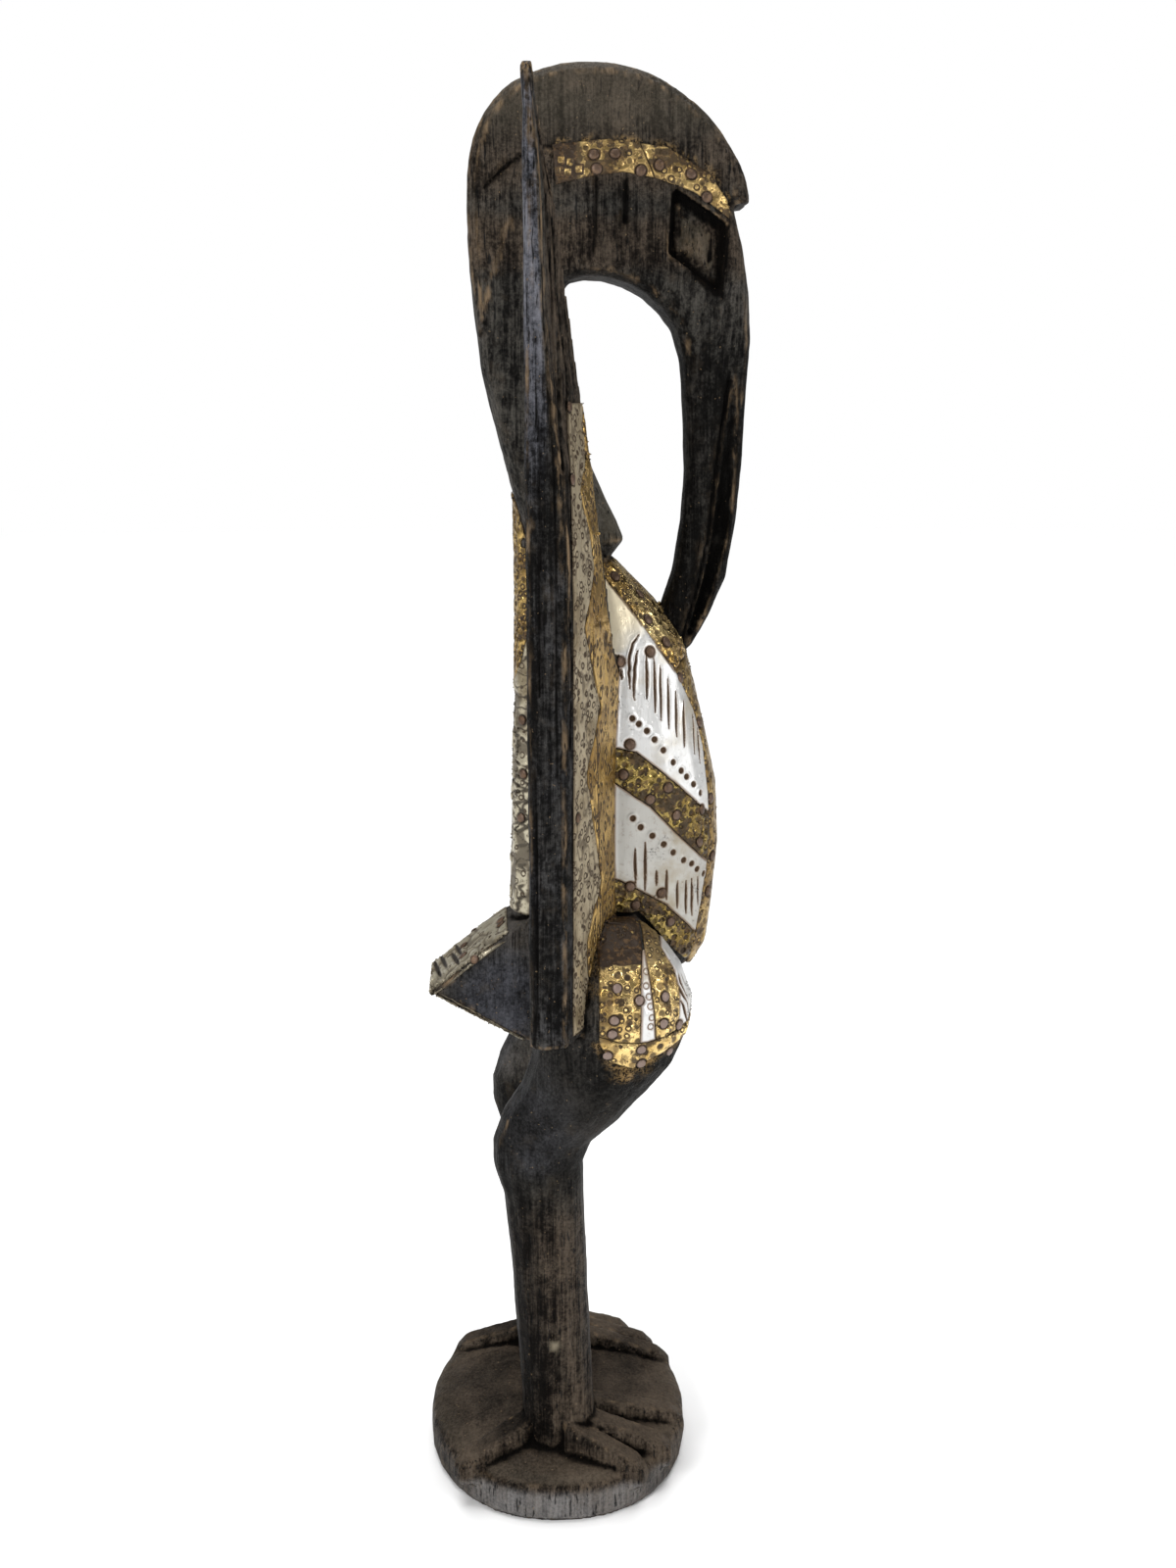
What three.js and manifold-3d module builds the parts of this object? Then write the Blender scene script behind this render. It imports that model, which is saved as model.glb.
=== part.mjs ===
import * as THREE from "three";
import { mergeVertices } from "three/addons/utils/BufferGeometryUtils.js";
import Module from "manifold-3d";

const wasm = await Module();
wasm.setup();

// A tall hornbill carved with its base from one log, its wings, belly, thighs, brow,
// back and tail clad in nailed sheets of brass and aluminium.
// Millimetres, +Z up, the bird looks along +X and its right side is -Y.
// The origin is the centre of the base's underside.

// Base, an oval block with a domed top
const BASE_HALF_LENGTH = 76;
const BASE_HALF_WIDTH = 87;
const BASE_RIM_HEIGHT = 23;
const BASE_DOME_HEIGHT = 15;
const BASE_RIM_ROUND = 5;
const BASE_BULGE = 0.025;

// Legs, one each side of the middle
const LEG_SPREAD = 43;
const SHANK_HALF_WIDTH = 20;
const THIGH_HALF_WIDTH = 33;
const LEG_FOOT_HEIGHT = 24;

// Trunk, with the belly's deepest point at BELLY_MIDDLE above the floor
const TRUNK_AXIS = 25;
const TRUNK_BOTTOM = 296;
const TRUNK_TOP = 528;
const BELLY_HALF_WIDTH = 45;

// Ridge down the back
const RIDGE_BACK = 22.6;
const RIDGE_HALF_WIDTH = 15.5;
const RIDGE_DEPTH = 20;
const RIDGE_TOP = 572;

// Wings, two upright boards swept back, pointed at the top
const WING_REACH = 101;
const WING_BOTTOM = 288;
const WING_TIP = 756;
const WING_SHOULDER = 487;
const WING_BACK = 16.5;

// Neck, head and beak, one bent form
const NECK_HALF_WIDTH = 20;
const HEAD_HALF_WIDTH = 24;
const BEAK_HALF_WIDTH = 9;
const MOUTH_WIDTH = 8;

// Crest, an upright rounded plate on the head
const CREST_MIDDLE = 27;
const CREST_REAR = 69.5;
const CREST_FRONT = 72.5;
const CREST_FOOT = 705;
const CREST_RISE = 66;
const CREST_HALF_WIDTH = 20;
const CREST_ROUND = 4;

// Eye, a sunk lozenge with a raised lozenge in it
const EYE_DEPTH = 6.5;
const EYE_BOSS_DEPTH = 2.5;

// Tail, an upright wedge, and the rump it grows from
const TAIL_HALF_WIDTH = 24;
const RUMP_HALF_WIDTH = 24;

// Sheet metal, standing off the wood by a hair, and the tacks that hold it
const SHEET_GAP = 0.5;
const SHEET_FACE = 1.5;
const SEAM_GAP = 0.5;
const TACK_RADIUS = 2.9;
const TACK_RISE = 1;
const FLATNESS = 0.1;

// Smooth curve through rows of [height, value, value, ...], read at one height.
function readTable(rows, at) {
  const last = rows.length - 1;
  const t = Math.min(Math.max(at, rows[0][0]), rows[last][0]);
  let i = 0;
  while (i < last - 1 && t > rows[i + 1][0]) {
    i += 1;
  }
  const slope = (k, c) => {
    if (k <= 0 || k >= last) {
      return 0;
    }
    const before = (rows[k][c] - rows[k - 1][c]) / (rows[k][0] - rows[k - 1][0]);
    const after = (rows[k + 1][c] - rows[k][c]) / (rows[k + 1][0] - rows[k][0]);
    return before * after <= 0 ? 0 : (2 * before * after) / (before + after);
  };
  const edgeSlope = (k, c) => {
    if (k === 0) {
      return (rows[1][c] - rows[0][c]) / (rows[1][0] - rows[0][0]);
    }
    if (k === last) {
      return (rows[last][c] - rows[last - 1][c]) / (rows[last][0] - rows[last - 1][0]);
    }
    return slope(k, c);
  };
  const span = rows[i + 1][0] - rows[i][0];
  const u = (t - rows[i][0]) / span;
  return rows[i].slice(1).map((_, j) => {
    const c = j + 1;
    const a = rows[i][c];
    const b = rows[i + 1][c];
    const ma = edgeSlope(i, c) * span;
    const mb = edgeSlope(i + 1, c) * span;
    const u2 = u * u;
    const u3 = u2 * u;
    return (2 * u3 - 3 * u2 + 1) * a + (u3 - 2 * u2 + u) * ma
      + (3 * u2 - 2 * u3) * b + (u3 - u2) * mb;
  });
}

// Closed skin over rings of points, each ring with the same count, ends closed by fans.
// Its triangles mirror across the bird's middle.
function loft(rings) {
  const count = rings[0].length;
  const positions = [];
  const index = [];
  rings.forEach((ring) => ring.forEach((p) => positions.push(p.x, p.y, p.z)));
  for (let r = 0; r < rings.length - 1; r += 1) {
    for (let k = 0; k < count; k += 1) {
      const a = r * count + k;
      const b = r * count + ((k + 1) % count);
      if (rings[r][k].y + rings[r][(k + 1) % count].y > 0) {
        index.push(a, b, a + count, b, b + count, a + count);
      } else {
        index.push(a, b, b + count, a, b + count, a + count);
      }
    }
  }
  const close = (ring, first, flip) => {
    const middle = new THREE.Vector3();
    ring.forEach((p) => middle.add(p));
    middle.divideScalar(count);
    const m = positions.length / 3;
    positions.push(middle.x, middle.y, middle.z);
    for (let k = 0; k < count; k += 1) {
      const a = first + k;
      const b = first + ((k + 1) % count);
      index.push(...(flip ? [m, b, a] : [m, a, b]));
    }
  };
  close(rings[0], 0, true);
  close(rings[rings.length - 1], (rings.length - 1) * count, false);
  const geometry = new THREE.BufferGeometry();
  geometry.setAttribute("position", new THREE.Float32BufferAttribute(positions, 3));
  geometry.setIndex(index);
  return geometry;
}

// Rounded-box curve: squareness 2 is an ellipse, higher is squarer.
function ovalPoint(angle, half, halfAcross, squareness) {
  const c = Math.cos(angle);
  const s = Math.sin(angle);
  const e = 2 / squareness;
  return [
    half * Math.sign(c) * Math.abs(c) ** e,
    halfAcross * Math.sign(s) * Math.abs(s) ** e,
  ];
}

function flatRing(z, back, front, middleY, halfY, squareness, count) {
  const middle = (back + front) / 2;
  const half = (front - back) / 2;
  return Array.from({ length: count }, (_, k) => {
    const [x, y] = ovalPoint((2 * Math.PI * k) / count, half, halfY, squareness);
    return new THREE.Vector3(middle + x, middleY + y, z);
  });
}

function toSolid(geometry) {
  const bare = geometry.clone();
  bare.deleteAttribute("normal");
  bare.deleteAttribute("uv");
  const merged = mergeVertices(bare, 1e-4);
  const solid = new wasm.Manifold(new wasm.Mesh({
    numProp: 3,
    vertProperties: new Float32Array(merged.attributes.position.array),
    triVerts: new Uint32Array(merged.index.array),
  }));
  if (solid.volume() <= 0) {
    throw new Error("a form is inside out");
  }
  return solid;
}

function toGeometry(solid) {
  const mesh = solid.getMesh();
  const geometry = new THREE.BufferGeometry();
  const points = new Float32Array(mesh.numVert * 3);
  for (let v = 0; v < mesh.numVert; v += 1) {
    for (let a = 0; a < 3; a += 1) {
      points[v * 3 + a] = mesh.vertProperties[v * mesh.numProp + a];
    }
  }
  geometry.setAttribute("position", new THREE.BufferAttribute(points, 3));
  geometry.setIndex(new THREE.BufferAttribute(new Uint32Array(mesh.triVerts), 1));
  return geometry;
}

function join(solids) {
  return solids.reduce((whole, solid) => whole.add(solid));
}

// A closed outline, running anticlockwise, swollen by a distance.
function swollen(outline, distance) {
  return outline.map((p, i) => {
    const a = outline[(i + outline.length - 1) % outline.length];
    const b = outline[(i + 1) % outline.length];
    const before = [p[0] - a[0], p[1] - a[1]];
    const after = [b[0] - p[0], b[1] - p[1]];
    const n1 = [before[1] / Math.hypot(...before), -before[0] / Math.hypot(...before)];
    const n2 = [after[1] / Math.hypot(...after), -after[0] / Math.hypot(...after)];
    const spread = 1 + n1[0] * n2[0] + n1[1] * n2[1];
    return [p[0] + (distance * (n1[0] + n2[0])) / spread,
      p[1] + (distance * (n1[1] + n2[1])) / spread];
  });
}

// A flat outline in side view, [x, z] corners, given thickness from y0 to y1.
function sidePlate(outline, y0, y1, round = 0) {
  const shape = new THREE.Shape(outline.map(([x, z]) => new THREE.Vector2(x, z)));
  const geometry = new THREE.ExtrudeGeometry(shape, {
    depth: y1 - y0 - 2 * round,
    bevelEnabled: round > 0,
    bevelThickness: round,
    bevelSize: round,
    bevelOffset: -round,
    bevelSegments: 1,
    curveSegments: 8,
  });
  geometry.translate(0, 0, round);
  geometry.applyMatrix4(new THREE.Matrix4().makeBasis(
    new THREE.Vector3(1, 0, 0), new THREE.Vector3(0, 0, 1), new THREE.Vector3(0, -1, 0)));
  geometry.translate(0, y1, 0);
  return toSolid(geometry);
}

// Base: oval rings from the floor up, then the dome. grow swells the form for clearances.
function baseForm() {
  const steps = 30;
  const ring = (share, z) => Array.from({ length: steps }, (_, k) => {
    const angle = (2 * Math.PI * k) / steps;
    const bulge = Math.max(0, Math.cos(angle + 0.95)) ** 8;
    const wave = share * (1 + 0.006 * Math.sin(3 * angle + 1) + BASE_BULGE * bulge);
    const [x, y] = ovalPoint(angle, BASE_HALF_LENGTH * wave, BASE_HALF_WIDTH * wave, 2.12);
    return new THREE.Vector3(x, y, z);
  });
  const dome = (share) => BASE_RIM_HEIGHT + BASE_DOME_HEIGHT * (1 - share * share);
  return toSolid(loft([
    ring(0.975, 0),
    ring(1, 4),
    ring(1, BASE_RIM_HEIGHT - BASE_RIM_ROUND),
    ring(0.985, BASE_RIM_HEIGHT - 1),
    ring(0.93, dome(0.93)),
    ring(0.7, dome(0.7)),
    ring(0.4, dome(0.4)),
  ]));
}

// Toes: ridges from the ankle to the rim, [start x, start y, end x, end y, width].
const TOES_RIGHT = [
  [-14, -48, -60, -68, 16],
  [14, -34, 74, -28, 14],
  [12, -50, 64, -58, 15],
  [4, -60, 47, -76, 14],
];
const TOES_LEFT = [
  [-14, 46, -62, 52, 15],
  [14, 36, 72, 32, 12],
  [12, 47, 64, 48, 12],
  [4, 58, 50, 65, 12],
];
const TOE_ROOT_HEIGHT = 46;
const TOE_END_HEIGHT = 30;

function toeForm([x0, y0, x1, y1, width]) {
  const along = new THREE.Vector3(x1 - x0, y1 - y0, 0);
  const side = new THREE.Vector3(-along.y, along.x, 0).normalize();
  const ringAt = (share, top, half) => {
    const p = new THREE.Vector3(x0, y0, 0).addScaledVector(along, share);
    const corner = (across, z) => p.clone().addScaledVector(side, across * half).setZ(z);
    return [corner(1, 14), corner(1, top - 3.5), corner(0.72, top), corner(-0.72, top),
      corner(-1, top - 3.5), corner(-1, 14)];
  };
  return toSolid(loft([
    ringAt(0, TOE_ROOT_HEIGHT, width / 2),
    ringAt(0.86, TOE_END_HEIGHT + 1, width / 2),
    ringAt(1, TOE_END_HEIGHT - 6, width / 2 - 1.5),
  ]));
}

// Right leg: [height, back, front, distance from the middle, half width].
function legForm(grow = 0) {
  const rows = [
    [LEG_FOOT_HEIGHT, -21, 21, LEG_SPREAD, SHANK_HALF_WIDTH + 1],
    [60, -22, 19, LEG_SPREAD, SHANK_HALF_WIDTH],
    [128, -26, 16, LEG_SPREAD, SHANK_HALF_WIDTH],
    [180, -30, 14, LEG_SPREAD, SHANK_HALF_WIDTH],
    [205, -37, 13.5, LEG_SPREAD, SHANK_HALF_WIDTH + 1],
    [222, -34, 30, LEG_SPREAD + 1, SHANK_HALF_WIDTH + 4],
    [246, -21, 49.5, LEG_SPREAD + 5, THIGH_HALF_WIDTH - 5],
    [270, -14, 66, LEG_SPREAD + 9, THIGH_HALF_WIDTH - 1],
    [291, -12, 71.5, LEG_SPREAD + 10, THIGH_HALF_WIDTH],
    [310, -8, 67.5, LEG_SPREAD + 8, THIGH_HALF_WIDTH - 2],
    [328, 2, 56, LEG_SPREAD + 4, THIGH_HALF_WIDTH - 8],
    [340, 16, 42, LEG_SPREAD - 1, THIGH_HALF_WIDTH - 18],
  ];
  const heights = [24, 60, 128, 180, 199, 213, 228, 246, 264, 282, 299, 315, 329, 340];
  const rings = heights.map((z) => {
    const [back, front, middle, half] = readTable(rows, z);
    const square = z < 190 ? 2.4 : 2.15;
    return flatRing(z + (z >= 340 ? grow : 0), back - grow, front + grow, -middle,
      half + grow, square, 14);
  });
  return toSolid(loft(rings));
}

// Trunk: [height, front, half width]; its back is hidden under wings and ridge.
function trunkForm(grow = 0) {
  const steps = 18;
  const rows = [
    [TRUNK_BOTTOM, 62, 21],
    [301, 76, 30],
    [312, 84.5, 36],
    [332, 87, 41],
    [372, 90.5, BELLY_HALF_WIDTH],
    [406, 88.5, BELLY_HALF_WIDTH],
    [450, 78, 42],
    [484, 69, 37],
    [503, 55.5, 30],
    [TRUNK_TOP, 31, 18.5],
  ];
  const heights = [296, 303, 315, 338, 370, 405, 438, 464, 484, 504, TRUNK_TOP];
  const rings = heights.map((z, i) => {
    const [front, half] = readTable(rows, z);
    const level = z + (i === 0 ? -grow : 0) + (i === heights.length - 1 ? grow : 0);
    return Array.from({ length: steps }, (_, k) => {
      const angle = (2 * Math.PI * k) / steps;
      const reach = Math.cos(angle) > 0 ? front - TRUNK_AXIS : TRUNK_AXIS + 8;
      const [x, y] = ovalPoint(angle, reach + grow, half + grow, 2.3);
      return new THREE.Vector3(TRUNK_AXIS + x, y, level);
    });
  });
  return toSolid(loft(rings));
}

// Underside of the trunk between the thighs, down to the tail.
function rumpForm(grow = 0) {
  const outline = [[-14, 262], [-8, 259], [10, 263], [36, 277], [58, 290], [66, 306], [40, 330],
    [-14, 336]];
  return sidePlate(swollen(outline, grow), -RUMP_HALF_WIDTH - grow, RUMP_HALF_WIDTH + grow,
    grow > 0 ? 0 : 3);
}

function ridgeForm(grow = 0) {
  const rows = [
    [300, RIDGE_BACK + 1, RIDGE_HALF_WIDTH],
    [345, RIDGE_BACK + 1.5, RIDGE_HALF_WIDTH + 1],
    [400, RIDGE_BACK, RIDGE_HALF_WIDTH],
    [450, RIDGE_BACK - 1.8, RIDGE_HALF_WIDTH],
    [520, RIDGE_BACK - 2.6, RIDGE_HALF_WIDTH],
    [RIDGE_TOP, RIDGE_BACK - 2, RIDGE_HALF_WIDTH - 1],
  ];
  const heights = [300, 345, 400, 460, 520, 572];
  return toSolid(loft(heights.map((z, i) => {
    const [back, half] = readTable(rows, z);
    const level = z + (i === 0 ? -grow : 0) + (i === heights.length - 1 ? grow : 0);
    const front = -back + 2 * RIDGE_DEPTH;
    return flatRing(level, -back - grow, front + grow, 0, half + grow, 2.2, 12);
  })));
}

// Right wing board: [height, outer edge front, inner reach, inner front, inner back].
function wingForm(grow = 0) {
  const rows = [
    [WING_BOTTOM, 4.5, 22, 43, -4],
    [455, 5, 22, 43, -4],
    [WING_SHOULDER, 5, 45, 31.5, -6],
    [515, 5, 52, 28, -8],
    [545, 4.5, 59, 23.5, -11],
    [575, 2, 61, 19, -13],
    [600, -2, 61, 15.5, -14],
    [631, -5, 65, 11, -14],
    [658, -7, 69, 7, -15],
    [686, -7.5, 76, 3, -15],
    [706, -8, 82, -1, -16],
    [734, -10.5, 87, -6, -16.5],
    [WING_TIP, -12.5, 93, -10.5, -17],
  ];
  const heights = [288, 455, 475, 487, 515, 545, 575, 600, 631, 658, 686, 706, 734, 756];
  const rings = heights.map((z, i) => {
    const [edgeFront, innerReach, innerFront, innerBack] = readTable(rows, z);
    const level = z + (i === 0 ? -grow : 0) + (i === heights.length - 1 ? grow : 0);
    const inner = innerReach - grow;
    const outer = WING_REACH + grow - (z > 752 ? 2 : 0);
    const thick = edgeFront + WING_BACK;
    const f = (x) => x + grow;
    const b = (x) => x - grow;
    const corners = [
      [f(innerFront - 2), inner],
      [f(edgeFront - 0.5), outer - 4],
      [edgeFront - thick * 0.14 + grow, outer - 1.1],
      [edgeFront - thick * 0.4, outer],
      [edgeFront - thick * 0.72, outer - 0.4],
      [b(-WING_BACK + 0.6), outer - 2.4],
      [b(-WING_BACK), outer - 5],
      [b(innerBack + 1), inner + 1],
      [innerBack + 4, inner],
    ];
    return corners.map(([x, y]) => new THREE.Vector3(x, -y, level)).reverse();
  });
  return toSolid(loft(rings));
}

// Neck, head and beak: rows of the inner edge and the outer edge in side view, then the
// half width and squareness, going from the trunk up the neck, over the head, down the beak.
const BEND = [
  [10, 500, -8, 505, NECK_HALF_WIDTH - 4, 3.6],
  [29, 526, -12, 524, NECK_HALF_WIDTH - 2, 3.6],
  [38, 538, -14.5, 536, NECK_HALF_WIDTH + 2, 3.6],
  [34, 547.5, -17.5, 547, NECK_HALF_WIDTH + 2, 3.6],
  [21, 574, -24.5, 575, NECK_HALF_WIDTH, 3.6],
  [12.5, 600, -31, 600, NECK_HALF_WIDTH, 3.6],
  [6.5, 625, -36.8, 625, NECK_HALF_WIDTH, 3.6],
  [3, 646, -39.8, 652, NECK_HALF_WIDTH, 4],
  [3, 660, -42.3, 690, NECK_HALF_WIDTH, 5],
  [9, 667.5, -32, 714, NECK_HALF_WIDTH + 0.3, 6],
  [18, 669.5, -6, 732, HEAD_HALF_WIDTH, 6],
  [28, 668.5, 28, 735.5, HEAD_HALF_WIDTH, 6],
  [38, 665.5, 57, 732, HEAD_HALF_WIDTH, 6],
  [47, 660.5, 79.5, 720, HEAD_HALF_WIDTH, 5],
  [56, 653, 92.5, 704, HEAD_HALF_WIDTH - 1, 4.5],
  [62.5, 644, 97.5, 684, HEAD_HALF_WIDTH - 2.5, 4],
  [66.5, 630, 101.5, 663, HEAD_HALF_WIDTH - 5, 3.6],
  [68, 617, 103, 640, HEAD_HALF_WIDTH - 8, 3.6],
  [69, 598, 101.5, 610, BEAK_HALF_WIDTH + 5, 3.6],
  [69.6, 573, 100, 578, BEAK_HALF_WIDTH + 4, 3.6],
  [68.5, 546, 97.8, 548, BEAK_HALF_WIDTH + 3.5, 3.6],
  [64, 519, 92.5, 517, BEAK_HALF_WIDTH + 2.5, 3.6],
  [58, 501, 84, 497, BEAK_HALF_WIDTH + 1.5, 3.6],
  [53, 488, 75, 480, BEAK_HALF_WIDTH, 3.6],
  [54, 482, 68, 474, BEAK_HALF_WIDTH - 2, 3.6],
];

function bendForm(grow = 0) {
  const steps = 16;
  const rings = BEND.map(([ix, iz, ox, oz, half, squareness]) => {
    const inner = new THREE.Vector3(ix, 0, iz);
    const outer = new THREE.Vector3(ox, 0, oz);
    const middle = inner.clone().add(outer).multiplyScalar(0.5);
    const across = outer.clone().sub(inner);
    const reach = across.length() / 2 + grow;
    across.normalize();
    return Array.from({ length: steps }, (_, k) => {
      const [u, v] = ovalPoint((2 * Math.PI * k) / steps, reach, half + grow,
        squareness);
      return middle.clone().addScaledVector(across, u).add(new THREE.Vector3(0, -v, 0));
    });
  });
  return toSolid(loft(rings));
}

function crestForm() {
  const steps = 26;
  const outline = [];
  for (let k = 0; k <= steps; k += 1) {
    const angle = Math.PI * (1 - k / steps);
    const rear = Math.cos(angle) < 0;
    const [x, z] = ovalPoint(angle, rear ? CREST_REAR : CREST_FRONT, CREST_RISE,
      rear ? 2.6 : 1.72);
    outline.push([CREST_MIDDLE + x, CREST_FOOT + z]);
  }
  outline.push([92, 705.5], [84, 700], [40, 712], [0, 704], [-20, 690], [-30, 655], [-38, 640],
    [-41.2, 672]);
  return sidePlate(outline.reverse(), -CREST_HALF_WIDTH, CREST_HALF_WIDTH, CREST_ROUND);
}

// Tail outline in side view, root inside the trunk.
function tailForm(grow = 0) {
  const outline = [[10, 340], [-24, 327.2], [-41, 314.6], [-66, 294.4], [-69, 292.4],
    [-69, 290.5], [-65.5, 289], [-43, 276], [-15.3, 260.5], [10, 263]];
  return sidePlate(swollen(outline, grow), -TAIL_HALF_WIDTH - grow, TAIL_HALF_WIDTH + grow,
    grow > 0 ? 0 : 1.5);
}

// Blocks on the right side of the bird, from depth y0 to y1, [x, z] corners shrinking to share.
function sideBlock(corners, y0, y1, share) {
  const middle = corners.reduce(
    (m, [x, z]) => [m[0] + x / corners.length, m[1] + z / corners.length], [0, 0]);
  const ringAt = (y, size) => corners.map(([x, z]) => new THREE.Vector3(
    middle[0] + (x - middle[0]) * size, y, middle[1] + (z - middle[1]) * size));
  return toSolid(loft([ringAt(y0, 1), ringAt(y1, share)]));
}

function bothSides(solid) {
  return solid.add(solid.mirror([0, 1, 0]));
}

// Eye: the sunk lozenge, and the hipped boss standing in it.
const EYE_CORNERS = [[58, 680.5], [84.5, 662], [87, 695], [59.5, 712.5]];
const EYE_BOSS_CORNERS = [[60.2, 682], [81.8, 666.5], [83.2, 692], [61, 706.5]];

function eyeCut() {
  return sideBlock(EYE_CORNERS, -HEAD_HALF_WIDTH + EYE_DEPTH, -HEAD_HALF_WIDTH - 10, 1);
}

function eyeBoss() {
  return sideBlock(EYE_BOSS_CORNERS, -HEAD_HALF_WIDTH + EYE_DEPTH + 0.2,
    -HEAD_HALF_WIDTH + EYE_BOSS_DEPTH, 0.3);
}

// Mouth: a groove along each side of the beak, [height, middle, width, web left each side].
function mouthCut() {
  const rows = [
    [484, 72, 3, 5],
    [500, 78, 5.5, 5.5],
    [519, 83.5, MOUTH_WIDTH - 1, 6.5],
    [540, 88, MOUTH_WIDTH + 0.5, 7.5],
    [567, 91, MOUTH_WIDTH, 8.5],
    [600, 93, 5, 11],
    [622, 93.5, 1.2, 14],
  ];
  const rings = [484, 500, 519, 540, 567, 600, 622].map((z) => {
    const [x, width, web] = readTable(rows, z);
    return [[-1, -web], [-1, -30], [1, -30], [1, -web]].map(
      ([end, y]) => new THREE.Vector3(x + (end * width) / 2, y, z));
  });
  return toSolid(loft(rings));
}

const wood = join([
  baseForm(),
  ...TOES_RIGHT.map(toeForm),
  ...TOES_LEFT.map(toeForm),
  bothSides(legForm()),
  trunkForm(), rumpForm(), ridgeForm(),
  bothSides(wingForm()),
  bendForm(), crestForm(), tailForm(),
])
  .subtract(bothSides(eyeCut()))
  .add(bothSides(eyeBoss()))
  .subtract(bothSides(mouthCut()))
  .simplify(FLATNESS);

// Flat outline seen from the front, [y, z] corners, reaching from x0 to x1.
function frontPlate(outline, x0, x1) {
  const shape = new THREE.Shape(outline.map(([y, z]) => new THREE.Vector2(y, z)));
  const geometry = new THREE.ExtrudeGeometry(shape, { depth: x1 - x0, bevelEnabled: false });
  geometry.applyMatrix4(new THREE.Matrix4().makeBasis(
    new THREE.Vector3(0, 1, 0), new THREE.Vector3(0, 0, 1), new THREE.Vector3(1, 0, 0)));
  geometry.translate(x0, 0, 0);
  return toSolid(geometry);
}

// A seam line moved sideways by a distance, to its left for a positive one.
function shifted(line, distance) {
  return line.map((p, i) => {
    const a = line[Math.max(i - 1, 0)];
    const b = line[Math.min(i + 1, line.length - 1)];
    const length = Math.hypot(b[0] - a[0], b[1] - a[1]);
    return [p[0] - ((b[1] - a[1]) / length) * distance,
      p[1] + ((b[0] - a[0]) / length) * distance];
  });
}

// Region between two seams that run the same way, the first on the left.
function between(left, right) {
  return [...shifted(left, -SEAM_GAP / 2), ...shifted(right, SEAM_GAP / 2).reverse()];
}

const nearWood = join([
  bothSides(legForm(SHEET_GAP)), trunkForm(SHEET_GAP), ridgeForm(SHEET_GAP),
  bothSides(wingForm(SHEET_GAP)), bendForm(SHEET_GAP), tailForm(SHEET_GAP),
  rumpForm(SHEET_GAP),
]);

// Largest body of a cut, so that no sliver is left beside a sheet, with its flats merged.
function largest(solid) {
  const bodies = solid.decompose();
  const best = bodies.reduce((a, b) => (b.volume() > a.volume() ? b : a));
  return best.simplify(FLATNESS);
}

function sheetOn(form, region) {
  return form.intersect(region).subtract(nearWood);
}

// Tack head: a low six-sided dome standing on a face.
function tackAt(point, normal) {
  const turn = new THREE.Quaternion().setFromUnitVectors(new THREE.Vector3(0, 0, 1), normal);
  const ringAt = (radius, height) => Array.from({ length: 6 }, (_, k) => new THREE.Vector3(
    radius * Math.cos((Math.PI * k) / 3), radius * Math.sin((Math.PI * k) / 3), height)
    .applyQuaternion(turn).add(point));
  return toSolid(loft([ringAt(TACK_RADIUS + 0.4, -0.5), ringAt(TACK_RADIUS * 0.6, TACK_RISE)]));
}

// A sheet with tacks on it, each place turned into a line of sight that meets the sheet.
function tacked(sheet, places, sight) {
  const mesh = new THREE.Mesh(toGeometry(sheet));
  const caster = new THREE.Raycaster();
  return places.reduce((whole, place) => {
    caster.set(...sight(place));
    const hit = caster.intersectObject(mesh)[0];
    return whole.add(tackAt(hit.point, hit.face.normal).subtract(nearWood));
  }, sheet).simplify(FLATNESS);
}

const fromRight = ([x, z]) => [new THREE.Vector3(x, -200, z), new THREE.Vector3(0, 1, 0)];
const fromLeft = ([x, z]) => [new THREE.Vector3(x, 200, z), new THREE.Vector3(0, -1, 0)];
const fromFront = ([y, z]) => [new THREE.Vector3(200, y, z), new THREE.Vector3(-1, 0, 0)];
const fromAbove = ([x, y]) => [new THREE.Vector3(x, y, 900), new THREE.Vector3(0, 0, -1)];

function tackedBothSides(sheet, places) {
  return tacked(tacked(sheet, places, fromRight), places, fromLeft);
}

// Belly seams on the right side, [x, z], each from the wing forward or from the top down.
const TOP_BAND_SEAM = [[14, 536], [26, 520], [43.8, 498], [53.5, 484.5], [63.9, 470.3]];
const RIM_TOP_SEAM = [[63.9, 470.3], [71, 476.5], [110, 510]];
const RIM_SEAM = [[63.9, 470.3], [74.3, 448.7], [80, 428], [82.9, 402.6], [84.2, 381.7],
  [82.6, 360], [77.5, 325], [73.3, 302]];
const BAND_1_TOP = [[20, 435], [42, 429.5], [63.4, 411.8], [100, 375]];
const BAND_1_FOOT = [[20, 421], [49.4, 400.3], [62, 386.8], [100, 347]];
const BAND_2_TOP = [[20, 367], [43.6, 353.8], [59.5, 343.7], [100, 298]];
const BAND_2_FOOT = [[20, 349], [49.6, 333.4], [66, 314], [76, 302]];
const OUTSIDE = 60;

const trunkSkin = trunkForm(SHEET_FACE);
const thighSkins = bothSides(legForm(SHEET_FACE + SEAM_GAP));

const rimRegion = [...shifted(RIM_SEAM, SEAM_GAP / 2), [110, 302],
  ...shifted(RIM_TOP_SEAM, -SEAM_GAP / 2).reverse().slice(0, 2)];
const topRegion = [...shifted(TOP_BAND_SEAM, SEAM_GAP / 2).slice(1),
  ...shifted(RIM_TOP_SEAM, SEAM_GAP / 2).slice(1), [60, TRUNK_TOP - 0.5],
  [21.2, TRUNK_TOP - 0.5]];
const besideRim = sidePlate(
  [[-40, 600], ...TOP_BAND_SEAM.slice(0, 1), ...shifted(TOP_BAND_SEAM, -SEAM_GAP / 2).slice(1, 4),
    ...shifted(RIM_SEAM, -SEAM_GAP / 2), [70, 280], [-40, 280]].slice(1), -OUTSIDE, 0);

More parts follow.
